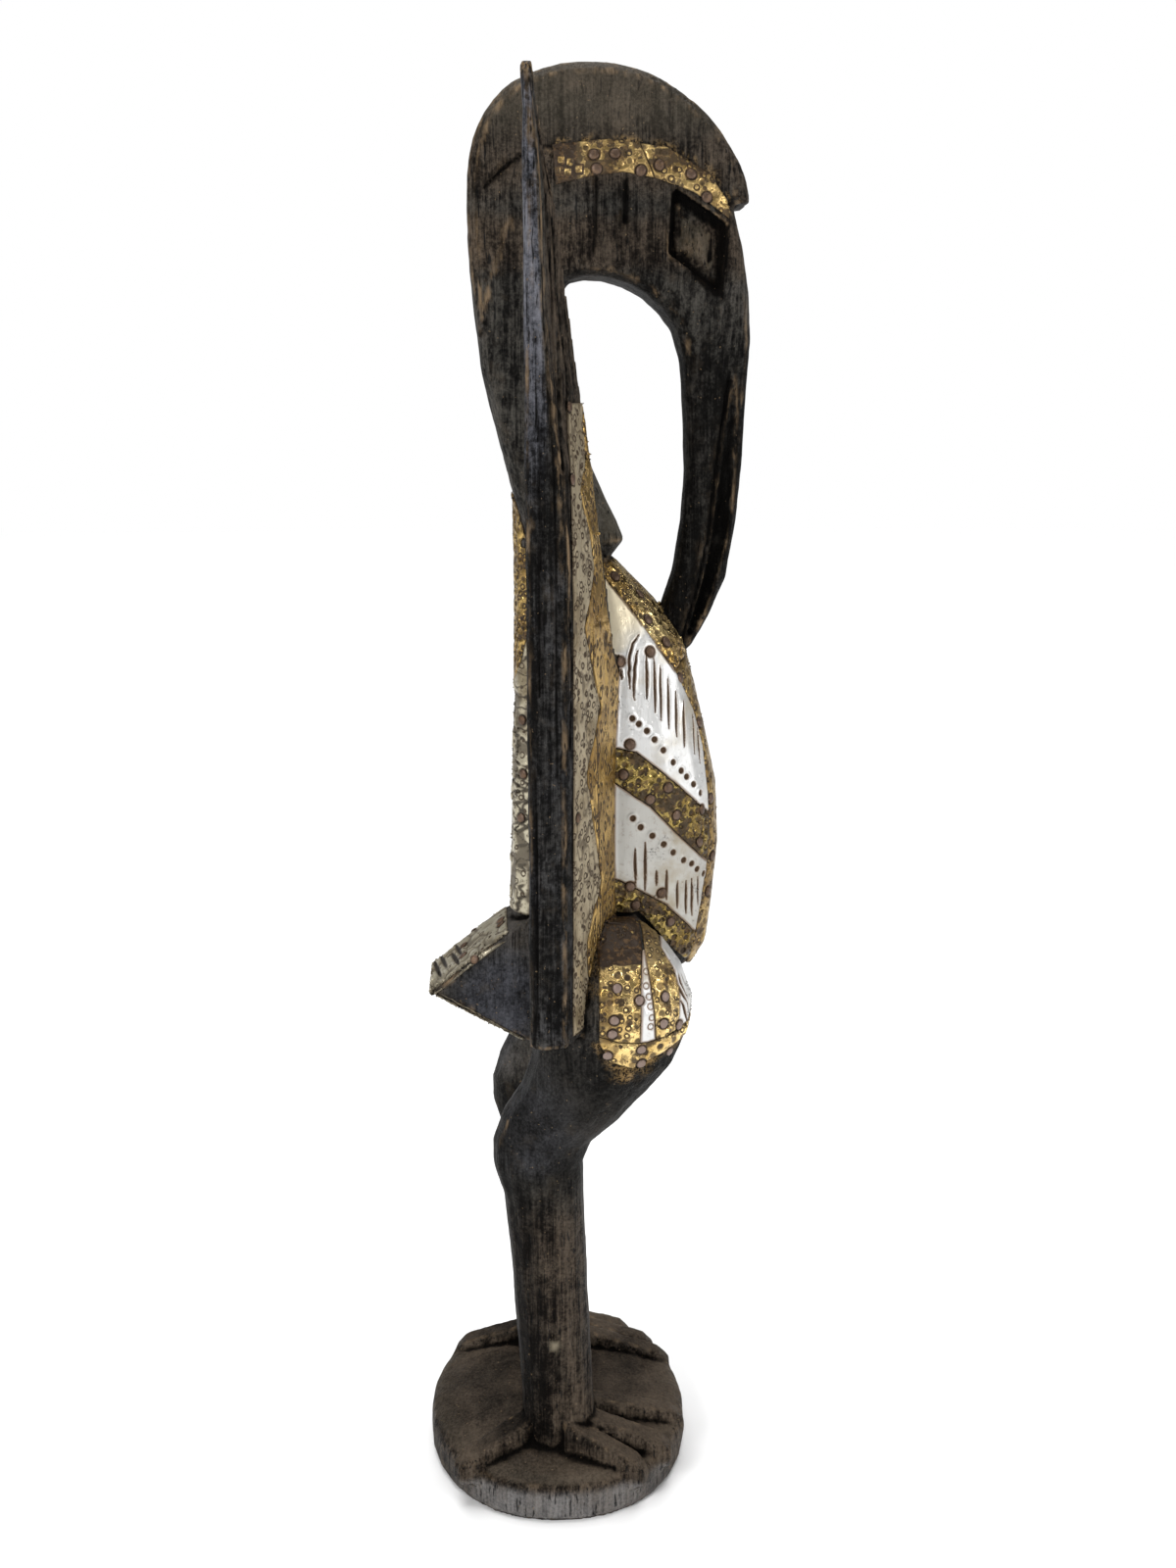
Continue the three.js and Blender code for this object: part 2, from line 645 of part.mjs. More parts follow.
function bellySheet(region) {
  return largest(sheetOn(trunkSkin, sidePlate(region, -OUTSIDE, -2).intersect(besideRim))
    .subtract(thighSkins));
}

const belly = {
  panel_upper: tacked(bellySheet(between([[14, 560], [90, 560]], BAND_1_TOP)),
    [[37, 477], [38.5, 437]], fromRight),
  band_upper: tacked(bellySheet(between(BAND_1_TOP, BAND_1_FOOT)),
    [[38, 418], [64, 396.5]], fromRight),
  panel_lower: tacked(bellySheet(between(BAND_1_FOOT, BAND_2_TOP)), [[56.5, 352]], fromRight),
  band_lower: tacked(bellySheet(between(BAND_2_TOP, BAND_2_FOOT)), [[61, 333]], fromRight),
};
const bellyTopBand = tackedBothSides(
  largest(sheetOn(trunkSkin, sidePlate(topRegion, -OUTSIDE, OUTSIDE))),
  [[50, 498], [59, 486]]);
const bellyRim = tackedBothSides(
  largest(sheetOn(trunkSkin, sidePlate(rimRegion, -OUTSIDE, OUTSIDE)).subtract(thighSkins)),
  [[80.5, 436], [87, 399]]);

// Brow band on each side of the head, in two lengths.
const BROW_FOOT = [[1.5, 713], [19, 717], [35, 719], [52, 716], [70, 710], [79, 704.5],
  [90, 697.5]];
const BROW_SEAM = 50.6;
const BROW_SEAM_LEAN = 12;
const browSkin = bendForm(SHEET_FACE);

function browSheet(from, to, rearLean, frontLean) {
  const foot = BROW_FOOT.filter(([x]) => x > from && x < to);
  const footAt = (x) => readTable(BROW_FOOT, x)[0];
  const region = [[from, footAt(from)], ...foot, [to, footAt(to)], [to - frontLean, 745],
    [from - rearLean, 745]];
  return largest(sheetOn(browSkin, sidePlate(region, -OUTSIDE, -CREST_HALF_WIDTH - SEAM_GAP)));
}

const brow = {
  brow_band_rear: tacked(browSheet(1.5, BROW_SEAM - SEAM_GAP / 2, 2.6, BROW_SEAM_LEAN),
    [[42.5, 723]], fromRight),
  brow_band_front: tacked(browSheet(BROW_SEAM + SEAM_GAP / 2, 89, BROW_SEAM_LEAN, -1),
    [[77, 710.5]], fromRight),
};

// Wing fronts seen from the front, [y, z]: bare margin, zigzag seam and inner edge.
const WING_SHEET_TOP = 608;
const WING_SHEET_FOOT = 292.5;
const WING_MARGIN = [[-81.5, WING_SHEET_TOP], [-87, 589], [-95, 543],
  [-95.5, WING_SHEET_FOOT]];
const WING_ZIGZAG = [[-63.5, WING_SHEET_TOP], [-68, 581], [-80, 567], [-69, 528], [-82, 501],
  [-64, 458], [-80, 426], [-62, 366], [-79, 338], [-76, WING_SHEET_FOOT]];
const WING_INNER = [[-62.5, WING_SHEET_TOP], [-62, 600], [-62, 545], [-56, 512], [-48, 484],
  [-40, 470], [-40, WING_SHEET_FOOT]];
const wingSkin = wingForm(SHEET_FACE);

function wingSheet(left, right) {
  const solid = sheetOn(wingSkin, frontPlate(between(right, left), -4, 60));
  return largest(solid
    .subtract(trunkForm(SHEET_FACE + SEAM_GAP))
    .subtract(thighSkins));
}

const wings = {
  wing_strip_outer: tacked(wingSheet(WING_MARGIN, WING_ZIGZAG), [[-88, 407]], fromFront),
  wing_strip_inner: tacked(wingSheet(WING_ZIGZAG, WING_INNER), [[-56, 440]], fromFront),
};

// Back sheets, bent over the ridge; their seam runs up towards the wings.
const ridgeSkin = ridgeForm(SHEET_FACE);
const RIDGE_SEAM = [[-40, 392], [-23, 455], [-8, 511]];
const RIDGE_SHEET_TOP = 562;
const RIDGE_SHEET_FOOT = 332;
const RIDGE_SHEET_FRONT = -11;
const behindWings = frontPlate(
  [[-30, RIDGE_SHEET_FOOT], [30, RIDGE_SHEET_FOOT], [30, RIDGE_SHEET_TOP],
    [-30, RIDGE_SHEET_TOP]], -40, RIDGE_SHEET_FRONT);
const ridgeUpper = tackedBothSides(largest(sheetOn(ridgeSkin, sidePlate(
  [...shifted(RIDGE_SEAM, SEAM_GAP / 2), [-8, 600], [-40, 600]], -OUTSIDE, OUTSIDE)
  .intersect(behindWings))), [[-16, 536]]);
const ridgeLower = tackedBothSides(largest(sheetOn(ridgeSkin, sidePlate(
  [[-40, 300], [-8, 300], ...shifted(RIDGE_SEAM, -SEAM_GAP / 2).reverse()], -OUTSIDE, OUTSIDE)
  .intersect(behindWings)).subtract(tailForm(SHEET_FACE + SEAM_GAP))),
  [[-18, 387]]);

// Tail sheets: one over the top and round the tip, one under the lower edge.
const tailSkin = tailForm(SHEET_FACE);
const tailTop = tacked(largest(sheetOn(tailSkin, sidePlate(
  [[-27.5, 320.5], [-27.5, 340], [-90, 340], [-90, 289.5], [-68, 289.5], [-60.5, 295.3],
    [-49.6, 304]].reverse(), -OUTSIDE, OUTSIDE))), [[-51, 0]], fromAbove);
const tailFoot = largest(sheetOn(tailSkin, sidePlate(
  [[-67.3, 288.6], [-64.2, 291], [-43, 278.4], [-19, 264.8], [-19, 250], [-67.3, 250]].reverse(),
  -OUTSIDE, OUTSIDE)));

// Thigh caps on the right side: brass either side of a strip, a bright edge and a lower band.
const thighSkin = legForm(SHEET_FACE);
const CAP_FOOT = [[19.5, 284], [25, 273], [37.6, 268.6], [53, 275], [66, 281]];
const CAP_BAND_TOP = [[19.5, 288], [30, 284.5], [45, 283.5], [60, 286], [80, 292]];
const CAP_STRIP_REAR = [[43.4, 329], [42, 316], [41.6, 300], [41.2, 280]];
const CAP_STRIP_FRONT = [[44.6, 329], [47, 315], [48.9, 300], [50, 280]];
const CAP_EDGE = [[54, 328], [60.5, 317], [63.4, 306], [62.6, 290], [61, 280]];

function capSheet(region, above) {
  const limit = sidePlate(above ? [...shifted(CAP_BAND_TOP, SEAM_GAP / 2), [80, 345], [19.5, 345]]
    : between(CAP_BAND_TOP, CAP_FOOT).reverse(), -OUTSIDE * 2, -LEG_SPREAD - 3);
  return largest(sheetOn(thighSkin, sidePlate(region, -OUTSIDE * 2, -LEG_SPREAD - 3)
    .intersect(limit)).subtract(trunkForm(SHEET_FACE + SEAM_GAP)));
}

const FULL_CAP = [[19.5, 262], [80, 262], [80, 345], [19.5, 345]];
const caps = {
  thigh_cap_rear: tacked(capSheet([[19.5, 262],
    ...shifted(CAP_STRIP_REAR, -SEAM_GAP / 2).reverse(), [44, 345], [19.5, 345]], true),
  [[29, 313]], fromRight),
  thigh_strip: capSheet(between(CAP_STRIP_FRONT, CAP_STRIP_REAR).reverse(), true),
  thigh_cap_front: tacked(capSheet([...shifted(CAP_STRIP_FRONT, SEAM_GAP / 2).reverse(),
    [45, 345], [50, 345], ...shifted(CAP_EDGE, -SEAM_GAP / 2)].reverse(), true),
  [[55, 300]], fromRight),
  thigh_cap_edge: capSheet([...shifted(CAP_EDGE, SEAM_GAP / 2), [80, 275], [80, 332],
    [56, 332]], true),
  thigh_band: capSheet(FULL_CAP, false),
};

function piece(name, solid, material) {
  const mesh = new THREE.Mesh(toGeometry(solid), material);
  mesh.name = name;
  return mesh;
}

const brass = () => new THREE.MeshStandardMaterial(
  { color: 0xa8842e, roughness: 0.4, metalness: 1 });
const aluminium = () => new THREE.MeshStandardMaterial(
  { color: 0xb9bcbb, roughness: 0.38, metalness: 1 });

const group = new THREE.Group();
group.add(piece("carved_bird", wood,
  new THREE.MeshStandardMaterial({ color: 0x2b2521, roughness: 0.6, metalness: 0 })));

function addPair(name, solid, material) {
  group.add(piece(`${name}_right`, solid, material()));
  group.add(piece(`${name}_left`, solid.mirror([0, 1, 0]), material()));
}

group.add(piece("belly_top_band", bellyTopBand, brass()));
group.add(piece("belly_rim", bellyRim, brass()));
addPair("belly_panel_upper", belly.panel_upper, aluminium);
addPair("belly_band_upper", belly.band_upper, brass);
addPair("belly_panel_lower", belly.panel_lower, aluminium);
addPair("belly_band_lower", belly.band_lower, brass);
Object.entries(brow).forEach(([name, solid]) => addPair(name, solid, brass));
addPair("wing_strip_outer", wings.wing_strip_outer, aluminium);
addPair("wing_strip_inner", wings.wing_strip_inner, brass);
group.add(piece("back_sheet_upper", ridgeUpper, brass()));
group.add(piece("back_sheet_lower", ridgeLower, aluminium()));
group.add(piece("tail_top_sheet", tailTop, aluminium()));
group.add(piece("tail_foot_sheet", tailFoot, aluminium()));
addPair("thigh_cap_rear", caps.thigh_cap_rear, brass);
addPair("thigh_strip", caps.thigh_strip, aluminium);
addPair("thigh_cap_front", caps.thigh_cap_front, brass);
addPair("thigh_cap_edge", caps.thigh_cap_edge, aluminium);
addPair("thigh_band", caps.thigh_band, brass);

export default group;
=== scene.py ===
import math

import bmesh
import bpy
import numpy as np
from mathutils import Matrix, Vector
from mathutils.bvhtree import BVHTree
from mathutils.kdtree import KDTree


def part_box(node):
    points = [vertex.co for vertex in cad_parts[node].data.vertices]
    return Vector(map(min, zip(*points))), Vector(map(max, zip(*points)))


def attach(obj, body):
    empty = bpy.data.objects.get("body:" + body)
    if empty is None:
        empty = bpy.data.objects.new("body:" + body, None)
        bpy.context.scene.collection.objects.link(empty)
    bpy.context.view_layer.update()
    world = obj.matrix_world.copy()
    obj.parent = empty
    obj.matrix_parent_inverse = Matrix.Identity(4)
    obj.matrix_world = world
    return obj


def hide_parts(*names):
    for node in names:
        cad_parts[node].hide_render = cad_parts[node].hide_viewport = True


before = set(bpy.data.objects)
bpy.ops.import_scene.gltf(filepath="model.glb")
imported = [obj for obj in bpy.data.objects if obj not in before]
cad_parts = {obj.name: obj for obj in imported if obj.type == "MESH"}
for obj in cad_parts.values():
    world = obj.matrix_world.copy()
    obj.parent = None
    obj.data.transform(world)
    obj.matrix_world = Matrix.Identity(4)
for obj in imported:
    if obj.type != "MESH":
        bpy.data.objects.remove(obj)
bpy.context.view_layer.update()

# The studio. The camera stands by the bird's right side, a little behind it and above its breast, and looks
# slightly down. A pale floor carries the bird, and large soft lamps stand to the left, the right and above.
bpy.ops.object.select_all(action="DESELECT")
bpy.ops.object.camera_add(
    location=(-0.0342, -0.8684, 0.6099), rotation=(math.radians(76.6), 0, math.radians(-3.5))
)
camera = bpy.context.object
camera.data.sensor_fit = "VERTICAL"
camera.data.sensor_height = 24
camera.data.lens = 24.75
camera.data.clip_start = 0.02
bpy.context.scene.camera = camera

bpy.ops.mesh.primitive_plane_add(size=14, location=(0, 0, 0))
floor = bpy.context.object
floor.name = "studio_floor"
floor_paint = bpy.data.materials.new("pale floor")
floor_paint.use_nodes = True
floor_shader = floor_paint.node_tree.nodes["Principled BSDF"]
floor_shader.inputs["Base Color"].default_value = (0.95, 0.95, 0.95, 1)
floor_shader.inputs["Roughness"].default_value = 0.75
floor.data.materials.append(floor_paint)

for lamp_name, place, width, power in (
    ("window_left", (-1.2, -1.5, 1.25), 0.8, 30),
    ("window_right", (1.7, -1.0, 1.0), 0.7, 16),
):
    bpy.ops.object.light_add(type="AREA", location=place)
    lamp = bpy.context.object
    lamp.name = lamp_name
    lamp.data.size = width
    lamp.data.energy = power
    aim = Vector((0, 0, 0.42)) - Vector(place)
    lamp.rotation_euler = aim.to_track_quat("-Z", "Y").to_euler()
bpy.ops.object.light_add(type="SUN", location=(0, 0, 3), rotation=(math.radians(-12), 0, 0))
skylight = bpy.context.object
skylight.name = "skylight"
skylight.data.energy = 2.8
skylight.data.angle = math.radians(50)

room = bpy.data.worlds.new("pale room")
room.use_nodes = True
backdrop = room.node_tree.nodes["Background"]
backdrop.inputs["Color"].default_value = (1, 1, 1, 1)
seen = room.node_tree.nodes.new("ShaderNodeLightPath").outputs["Is Camera Ray"]
level = room.node_tree.nodes.new("ShaderNodeMapRange")
level.inputs["To Min"].default_value = 0.22
level.inputs["To Max"].default_value = 1.0
room.node_tree.links.new(seen, level.inputs["Value"])
room.node_tree.links.new(level.outputs["Result"], backdrop.inputs["Strength"])
bpy.context.scene.world = room
bpy.context.scene.view_settings.view_transform = "Standard"


# The bird, its legs and the base under its feet are one carving in a dark, heavy wood. It was cut with an
# adze and knives, so its skin waves and its arrises are broken, and it has dried and split along the grain.
WOOD_VOXEL = 0.0015
WOOD_TRIANGLES = 194000
ARRIS_ANGLE = math.radians(33)
# the wings lie further out from the middle plane than this, and their tips are cut off level here
WING_OUT = 0.08
WING_TOP = 0.7553
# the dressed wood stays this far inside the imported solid's box
BOX_MARGIN = 0.0001
# the eye's raised lozenge, seen from the side: its middle, and from there the middles of two of its edges,
# in mm; then its level and how far out from the middle plane its face stands, in metres
EYE_MIDDLE = np.array((71.5, 686.8))
EYE_SPAN = np.array(((10.9, -7.5), (0.6, 12.5)))
EYE_LEVEL = 0.687
EYE_FACE = 0.0185
# drying cracks, and third the ledge over the nape: points in mm, half width and depth in mm
CRACKS = (
    (((21.8, -24, 716), (21.3, -24, 703), (21.2, -24, 692), (20.6, -23.5, 681)), 0.7, 1.8),
    (((36.4, -24, 715), (36.0, -24, 705), (35.8, -24, 696)), 1.1, 2.4),
    (((-33.6, -24, 711.9), (-27.2, -24, 718.2), (-19.8, -24, 724.1), (-8, -24, 731)), 0.8, 1.9),
    (((-2.8, -85, 690), (0.7, -80, 650), (4, -78, 620), (3.5, -82, 605)), 1.0, 2.2),
    (((-9.6, -93, 740), (-5.8, -90, 700), (-3.4, -88, 660), (-2.3, -90, 630), (-0.3, -92, 600)), 0.9, 2.0),
    (((3.3, -74, 650), (6.8, -71, 625)), 0.9, 2.0),
    (((0, -84.5, 635), (0.1, -88.4, 613), (0.4, -92.3, 595), (0.6, -96, 578)), 1.3, 3.2),
    (((-4, -92, 732), (-2, -89, 715), (-1, -86, 702)), 0.9, 1.8),
    (((5, -96, 505), (5.5, -95, 484), (4.9, -96, 465), (4.3, -97, 444)), 0.8, 1.6),
    (((-11, -101, 640), (-10, -101, 560), (-10.5, -101, 470)), 0.5, 0.9),
    (((-3, -101, 690), (-3.5, -101, 610), (-2, -101, 520), (-2.5, -101, 430)), 0.5, 0.8),
    (((-14, -101, 430), (-13, -101, 360), (-14, -101, 300)), 0.6, 1.0),
)
# the wing's two front arrises, where the dark skin is rubbed off, in mm
WING_ARRISES = (
    (
        (-12.5, -97.5, 756), (-8.3, -97.5, 706), (-7.3, -97.5, 658), (-2.3, -97.5, 600),
        (4.2, -97.5, 545), (4.7, -97.5, 455), (4.2, -97.5, 288),
    ),
    (
        (-11.5, -93, 756), (-7, -87, 734), (-2, -82, 706), (2, -76, 686),
        (6, -69, 658), (10, -65, 631), (14.5, -61, 600),
    ),
)  # fmt: skip
# the groove between the two halves of the closed beak: points, half width and depth in mm
MOUTH = (
    ((91, -14.5, 618.7), (87.2, -13.3, 588.5), (84.1, -12.8, 563.3),
     (81.6, -12, 534.7), (76.8, -11.1, 511.8), (69.6, -8.8, 483.7)), 1.1, 2.2,
)  # fmt: skip
LINE_REACH = 0.004


def lumps(points, size, seed):
    """Smooth chance swelling from -1 to 1 at each point, its lumps as long as size in metres."""
    spread = points / np.asarray(size) + seed * 17.31
    corner = np.floor(spread).astype(np.int64)
    part = spread - corner
    part = part * part * (3 - 2 * part)
    total = np.zeros(len(points))
    for step in np.ndindex(2, 2, 2):
        cell = corner + step
        mixed = (cell[:, 0] * 73856093) ^ (cell[:, 1] * 19349663) ^ (cell[:, 2] * 83492791)
        mixed = ((mixed & 0xFFFFFF) * 1103515 + 12345) & 0xFFFFFFFF
        mixed ^= mixed >> 15
        mixed = (mixed * 22695477 + 1) & 0xFFFFFFFF
        mixed ^= mixed >> 13
        total += np.where(step, part, 1 - part).prod(axis=1) * (mixed / 0xFFFFFFFF)
    return 2 * total - 1


def ease(value, low, high):
    """0 below low and 1 above high, with a soft passage between them."""
    share = np.clip((value - low) / (high - low), 0, 1)
    return share * share * (3 - 2 * share)


def zone(value, start, full, fade, end):
    """1 from full to fade, and 0 below start and above end."""
    return ease(value, start, full) * (1 - ease(value, fade, end))


def points_of(mesh):
    flat = np.empty(len(mesh.vertices) * 3, np.float32)
    mesh.vertices.foreach_get("co", flat)
    return flat.reshape(-1, 3).astype(float)


def normals_of(mesh):
    flat = np.empty(len(mesh.vertices) * 3, np.float32)
    mesh.vertex_normals.foreach_get("vector", flat)
    return flat.reshape(-1, 3).astype(float)


def edges_of(mesh):
    flat = np.empty(len(mesh.edges) * 2, np.int32)
    mesh.edges.foreach_get("vertices", flat)
    return flat.reshape(-1, 2)


def set_points(mesh, points):
    mesh.vertices.foreach_set("co", points.astype(np.float32).ravel())
    mesh.update()


def mark(mesh, name, values):
    """Keeps one number for each point, for the finish to read."""
    layer = mesh.attributes.new(name, "FLOAT", "POINT")
    layer.data.foreach_set("value", values.astype(np.float32))


def middles(points, edges):
    """The middle of each point's neighbours."""
    a, b = edges.T
    total = np.empty_like(points)
    for axis in range(3):
        total[:, axis] = np.bincount(a, points[b, axis], len(points))
        total[:, axis] += np.bincount(b, points[a, axis], len(points))
    return total / np.maximum(np.bincount(edges.ravel(), minlength=len(points)), 1)[:, None]


def relax(points, edges, share, rounds):
    """Evens out a skin without shrinking it, by each point's share."""
    for turn in range(2 * rounds):
        pull = 0.5 if turn % 2 == 0 else -0.52
        points = points + pull * share[:, None] * (middles(points, edges) - points)
    return points


def bulge_of(points, normals, edges, rounds):
    """How far each point stands out from the skin round it, in metres; below 0 in a hollow."""
    smooth = points
    for _ in range(rounds):
        smooth = middles(smooth, edges)
    return np.einsum("ij,ij->i", points - smooth, normals)


def from_path(points, path, reach):
    """Distance from each point to a path, no more than reach."""
    path = np.asarray(path, float)
    nearest = np.full(len(points), float(reach))
    inside = np.all((points > path.min(0) - reach) & (points < path.max(0) + reach), axis=1)
    near = points[inside]
    best = nearest[inside]
    for start, end in zip(path[:-1], path[1:]):
        along = end - start
        share = np.clip((near - start) @ along / max(along @ along, 1e-12), 0, 1)
        best = np.minimum(best, np.linalg.norm(near - start - share[:, None] * along, axis=1))
    nearest[inside] = best
    return nearest


def on_form(path):
    """A path given in mm, laid on the smooth form in steps of about 2 mm."""
    path = np.asarray(path, float) / 1000
    laid = []
    for start, end in zip(path[:-1], path[1:]):
        steps = max(1, int(np.linalg.norm(end - start) / 0.002))
        laid += [core.find_nearest(start + (end - start) * k / steps)[0] for k in range(steps)]
    return np.array(laid + [core.find_nearest(path[-1])[0]])


def from_line(points, path, side):
    """Distance from each point to a path given in mm, laid on the right side (1) or the left side (-1)."""
    return from_path(points, on_form(path) * (1, side, 1), LINE_REACH)


def from_eye(points):
    """How far each point lies from the eye's middle, seen from the side; 1 on the lozenge's edge."""
    flat = points[:, (0, 2)] * 1000 - EYE_MIDDLE
    return np.abs(flat @ np.linalg.inv(EYE_SPAN)).max(axis=1)


def copy_of(node, name):
    """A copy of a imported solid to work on, its loose triangles joined."""
    piece = bpy.data.objects.new(name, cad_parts[node].data.copy())
    bpy.context.collection.objects.link(piece)
    piece.data.materials.clear()
    bpy.ops.object.select_all(action="DESELECT")
    piece.select_set(True)
    bpy.context.view_layer.objects.active = piece
    bpy.ops.object.mode_set(mode="EDIT")
    bpy.ops.mesh.select_all(action="SELECT")
    bpy.ops.mesh.remove_doubles(threshold=0.00001)
    bpy.ops.object.mode_set(mode="OBJECT")
    return piece


def apply_modifier(piece, kind, **settings):
    bpy.context.view_layer.objects.active = piece
    modifier = piece.modifiers.new(kind.lower(), kind)
    for key, value in settings.items():
        setattr(modifier, key, value)
    bpy.ops.object.modifier_apply(modifier=modifier.name)


wood = copy_of("carved_bird", "carved_wood")
shell = bmesh.new()
shell.from_mesh(wood.data)
block = BVHTree.FromBMesh(shell)
arris = []
sharp = []
for edge in shell.edges:
    if edge.calc_face_angle(0) > ARRIS_ANGLE:
        start, end = (corner.co for corner in edge.verts)
        steps = max(1, math.ceil((end - start).length / 0.001))
        along = [start.lerp(end, k / steps) for k in range(steps + 1)]
        arris += along
        if edge.calc_face_angle_signed(0) > ARRIS_ANGLE:
            sharp += along
shell.free()


def gap_to(points, spots):
    """Distance from each point to the nearest of the spots."""
    tree = KDTree(len(spots))
    for index, spot in enumerate(spots):
        tree.insert(spot, index)
    tree.balance()
    return np.array([tree.find(point)[2] for point in points])


apply_modifier(wood, "REMESH", mode="VOXEL", voxel_size=WOOD_VOXEL, use_smooth_shade=True)
points = points_of(wood.data)
edges = edges_of(wood.data)
to_arris = gap_to(points, arris)
points = relax(points, edges, ease(to_arris, 0.0015, 0.006), 16)
points = relax(points, edges, np.ones(len(points)), 1)
base_rim = zone(points[:, 2], 0.009, 0.012, 0.022, 0.026)
for _ in range(14):
    points = points + 0.5 * base_rim[:, None] * (middles(points, edges) - points)
set_points(wood.data, points)

# the smooth form, before its tool marks, is what the metal sheets lie on
core = BVHTree.FromPolygons(points.tolist(), [tuple(face.vertices) for face in wood.data.polygons])

normals = normals_of(wood.data)
sheets = [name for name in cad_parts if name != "carved_bird"]
cover = []
for name in sheets:
    skin = bmesh.new()
    skin.from_mesh(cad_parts[name].data)
    cover.append(BVHTree.FromBMesh(skin))
    skin.free()
covered = np.zeros(len(points), bool)
for name, tree in zip(sheets, cover):
    box_low, box_high = (np.array(corner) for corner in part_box(name))
    near = np.flatnonzero(np.all((points > box_low - 0.002) & (points < box_high + 0.002), axis=1))
    covered[[k for k in near if tree.find_nearest(points[k], 0.0022)[0] is not None]] = True
worn = ease(bulge_of(points, normals, edges, 6), 0.0002, 0.0009)
crease = ease(-bulge_of(points, normals, edges, 30), 0.0005, 0.0026)
adzed = np.abs(lumps(points, (0.016, 0.016, 0.034), 16))
carve = 0.0003 * lumps(points, (0.010, 0.010, 0.018), 1) + 0.00025 * lumps(points, (0.028, 0.028, 0.05), 2)
fibre = 0.00012 * lumps(points, (0.0022, 0.0022, 0.03), 3)
carve += fibre + 0.00010 * lumps(points, 0.0035, 9) - 0.0005 * (adzed - 0.3)
carve *= 1 - 0.75 * (1 - ease(points[:, 2], 0.016, 0.02))
carve += worn * 0.0006 * ease(lumps(points, (0.005, 0.005, 0.009), 4), 0.1, 0.9)
carve += crease * 0.0012
for path, half_width, depth in CRACKS + (MOUTH,):
    for side in (1, -1):
        gap = from_line(points, path, side)
        waver = half_width * 0.001 * (1 + 0.5 * lumps(points, (0.004, 0.004, 0.006), 5 + side))
        carve += depth * 0.001 * (1 - ease(gap, 0.3 * waver, 1.3 * waver))
out = np.abs(points[:, 1])
across = from_eye(points)
boss = (across < 1.0) & (out > EYE_FACE) & (out < 0.0238)
carve += np.where(boss, 0.0014 * across**1.2 + 0.0008 * lumps(points, 0.0045, 14), 0)
tip = ease(points[:, 2], 0.735, 0.762) * (out > WING_OUT)
carve -= 0.0013 * tip
carve = np.where(covered, np.maximum(carve, 0.0001), carve)
foot = (points[:, 2] < 0.0025) & (normals[:, 2] < -0.8)
points = points - normals * carve[:, None]
points[foot, 2] = 0
low, high = (np.array(corner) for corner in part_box("carved_bird"))
points = np.clip(points, low + (BOX_MARGIN, BOX_MARGIN, 0), high - BOX_MARGIN)
wing = np.abs(points[:, 1]) > WING_OUT
points[wing, 2] = np.minimum(points[wing, 2], WING_TOP)
set_points(wood.data, points)
apply_modifier(wood, "TRIANGULATE")
apply_modifier(wood, "DECIMATE", ratio=WOOD_TRIANGLES / len(wood.data.polygons))
bpy.ops.object.shade_smooth()

points = points_of(wood.data)
points[:, 2] = np.maximum(points[:, 2], 0)
set_points(wood.data, points)
edges = edges_of(wood.data)
normals = normals_of(wood.data)
bulge = bulge_of(points, normals, edges, 4)
height = points[:, 2]
out = np.abs(points[:, 1])
chipped = 1 - ease(gap_to(points, sharp), 0.0007, 0.0019)
chipped *= ease(lumps(points, (0.003, 0.003, 0.011), 15), -0.5, 0.6)
worn = np.maximum(0.2 * ease(bulge, 0.0002, 0.0011), chipped)
for path in WING_ARRISES:
    for side in (1, -1):
        gap = from_line(points, path, side)
        worn = np.maximum(worn, 1.3 * (1 - ease(gap, 0.0005, 0.0017)) * ease(height, 0.45, 0.55))
worn *= 1 - 0.75 * (1 - ease(height, 0.03, 0.05))
across = from_eye(points)
boss = (across < 0.95) * (out > EYE_FACE) * (out < 0.0235) * (np.abs(height - EYE_LEVEL) < 0.02)
worn = np.where(boss, 0.4 * ease(lumps(points, 0.005, 18), 0.0, 0.8) * (1 - 0.6 * across), worn)
mark(wood.data, "worn", worn)
# painted shade: hollows, cracks, the mouth groove and the eye's trench are marked to be drawn near black
hollow = ease(-bulge, 0.00008, 0.0006)
hollow = np.maximum(hollow, ease(-bulge_of(points, normals, edges, 25), 0.0003, 0.0020))
for path, half_width, _ in CRACKS + (MOUTH,):
    for side in (1, -1):
        gap = from_line(points, path, side)
        hollow = np.maximum(hollow, 1 - ease(gap, 0.0009 * half_width, 0.0018 * half_width))
hollow = np.where(boss, 0.25 * hollow * across, hollow)
trench = ease(across, 0.98, 1.06) * (across < 1.5) * (out < 0.0222) * (out > 0.012)
trench *= np.abs(height - EYE_LEVEL) < 0.03
mark(wood.data, "sunk", np.maximum(hollow, trench))


def ball(centre, radius):
    """1 in the middle of a place on both sides of the bird, given in mm, and 0 at its radius."""
    folded = np.c_[points[:, 0], out, height] * 1000
    return 1 - ease(np.linalg.norm((folded - centre) / np.array(radius), axis=1), 0.2, 1)
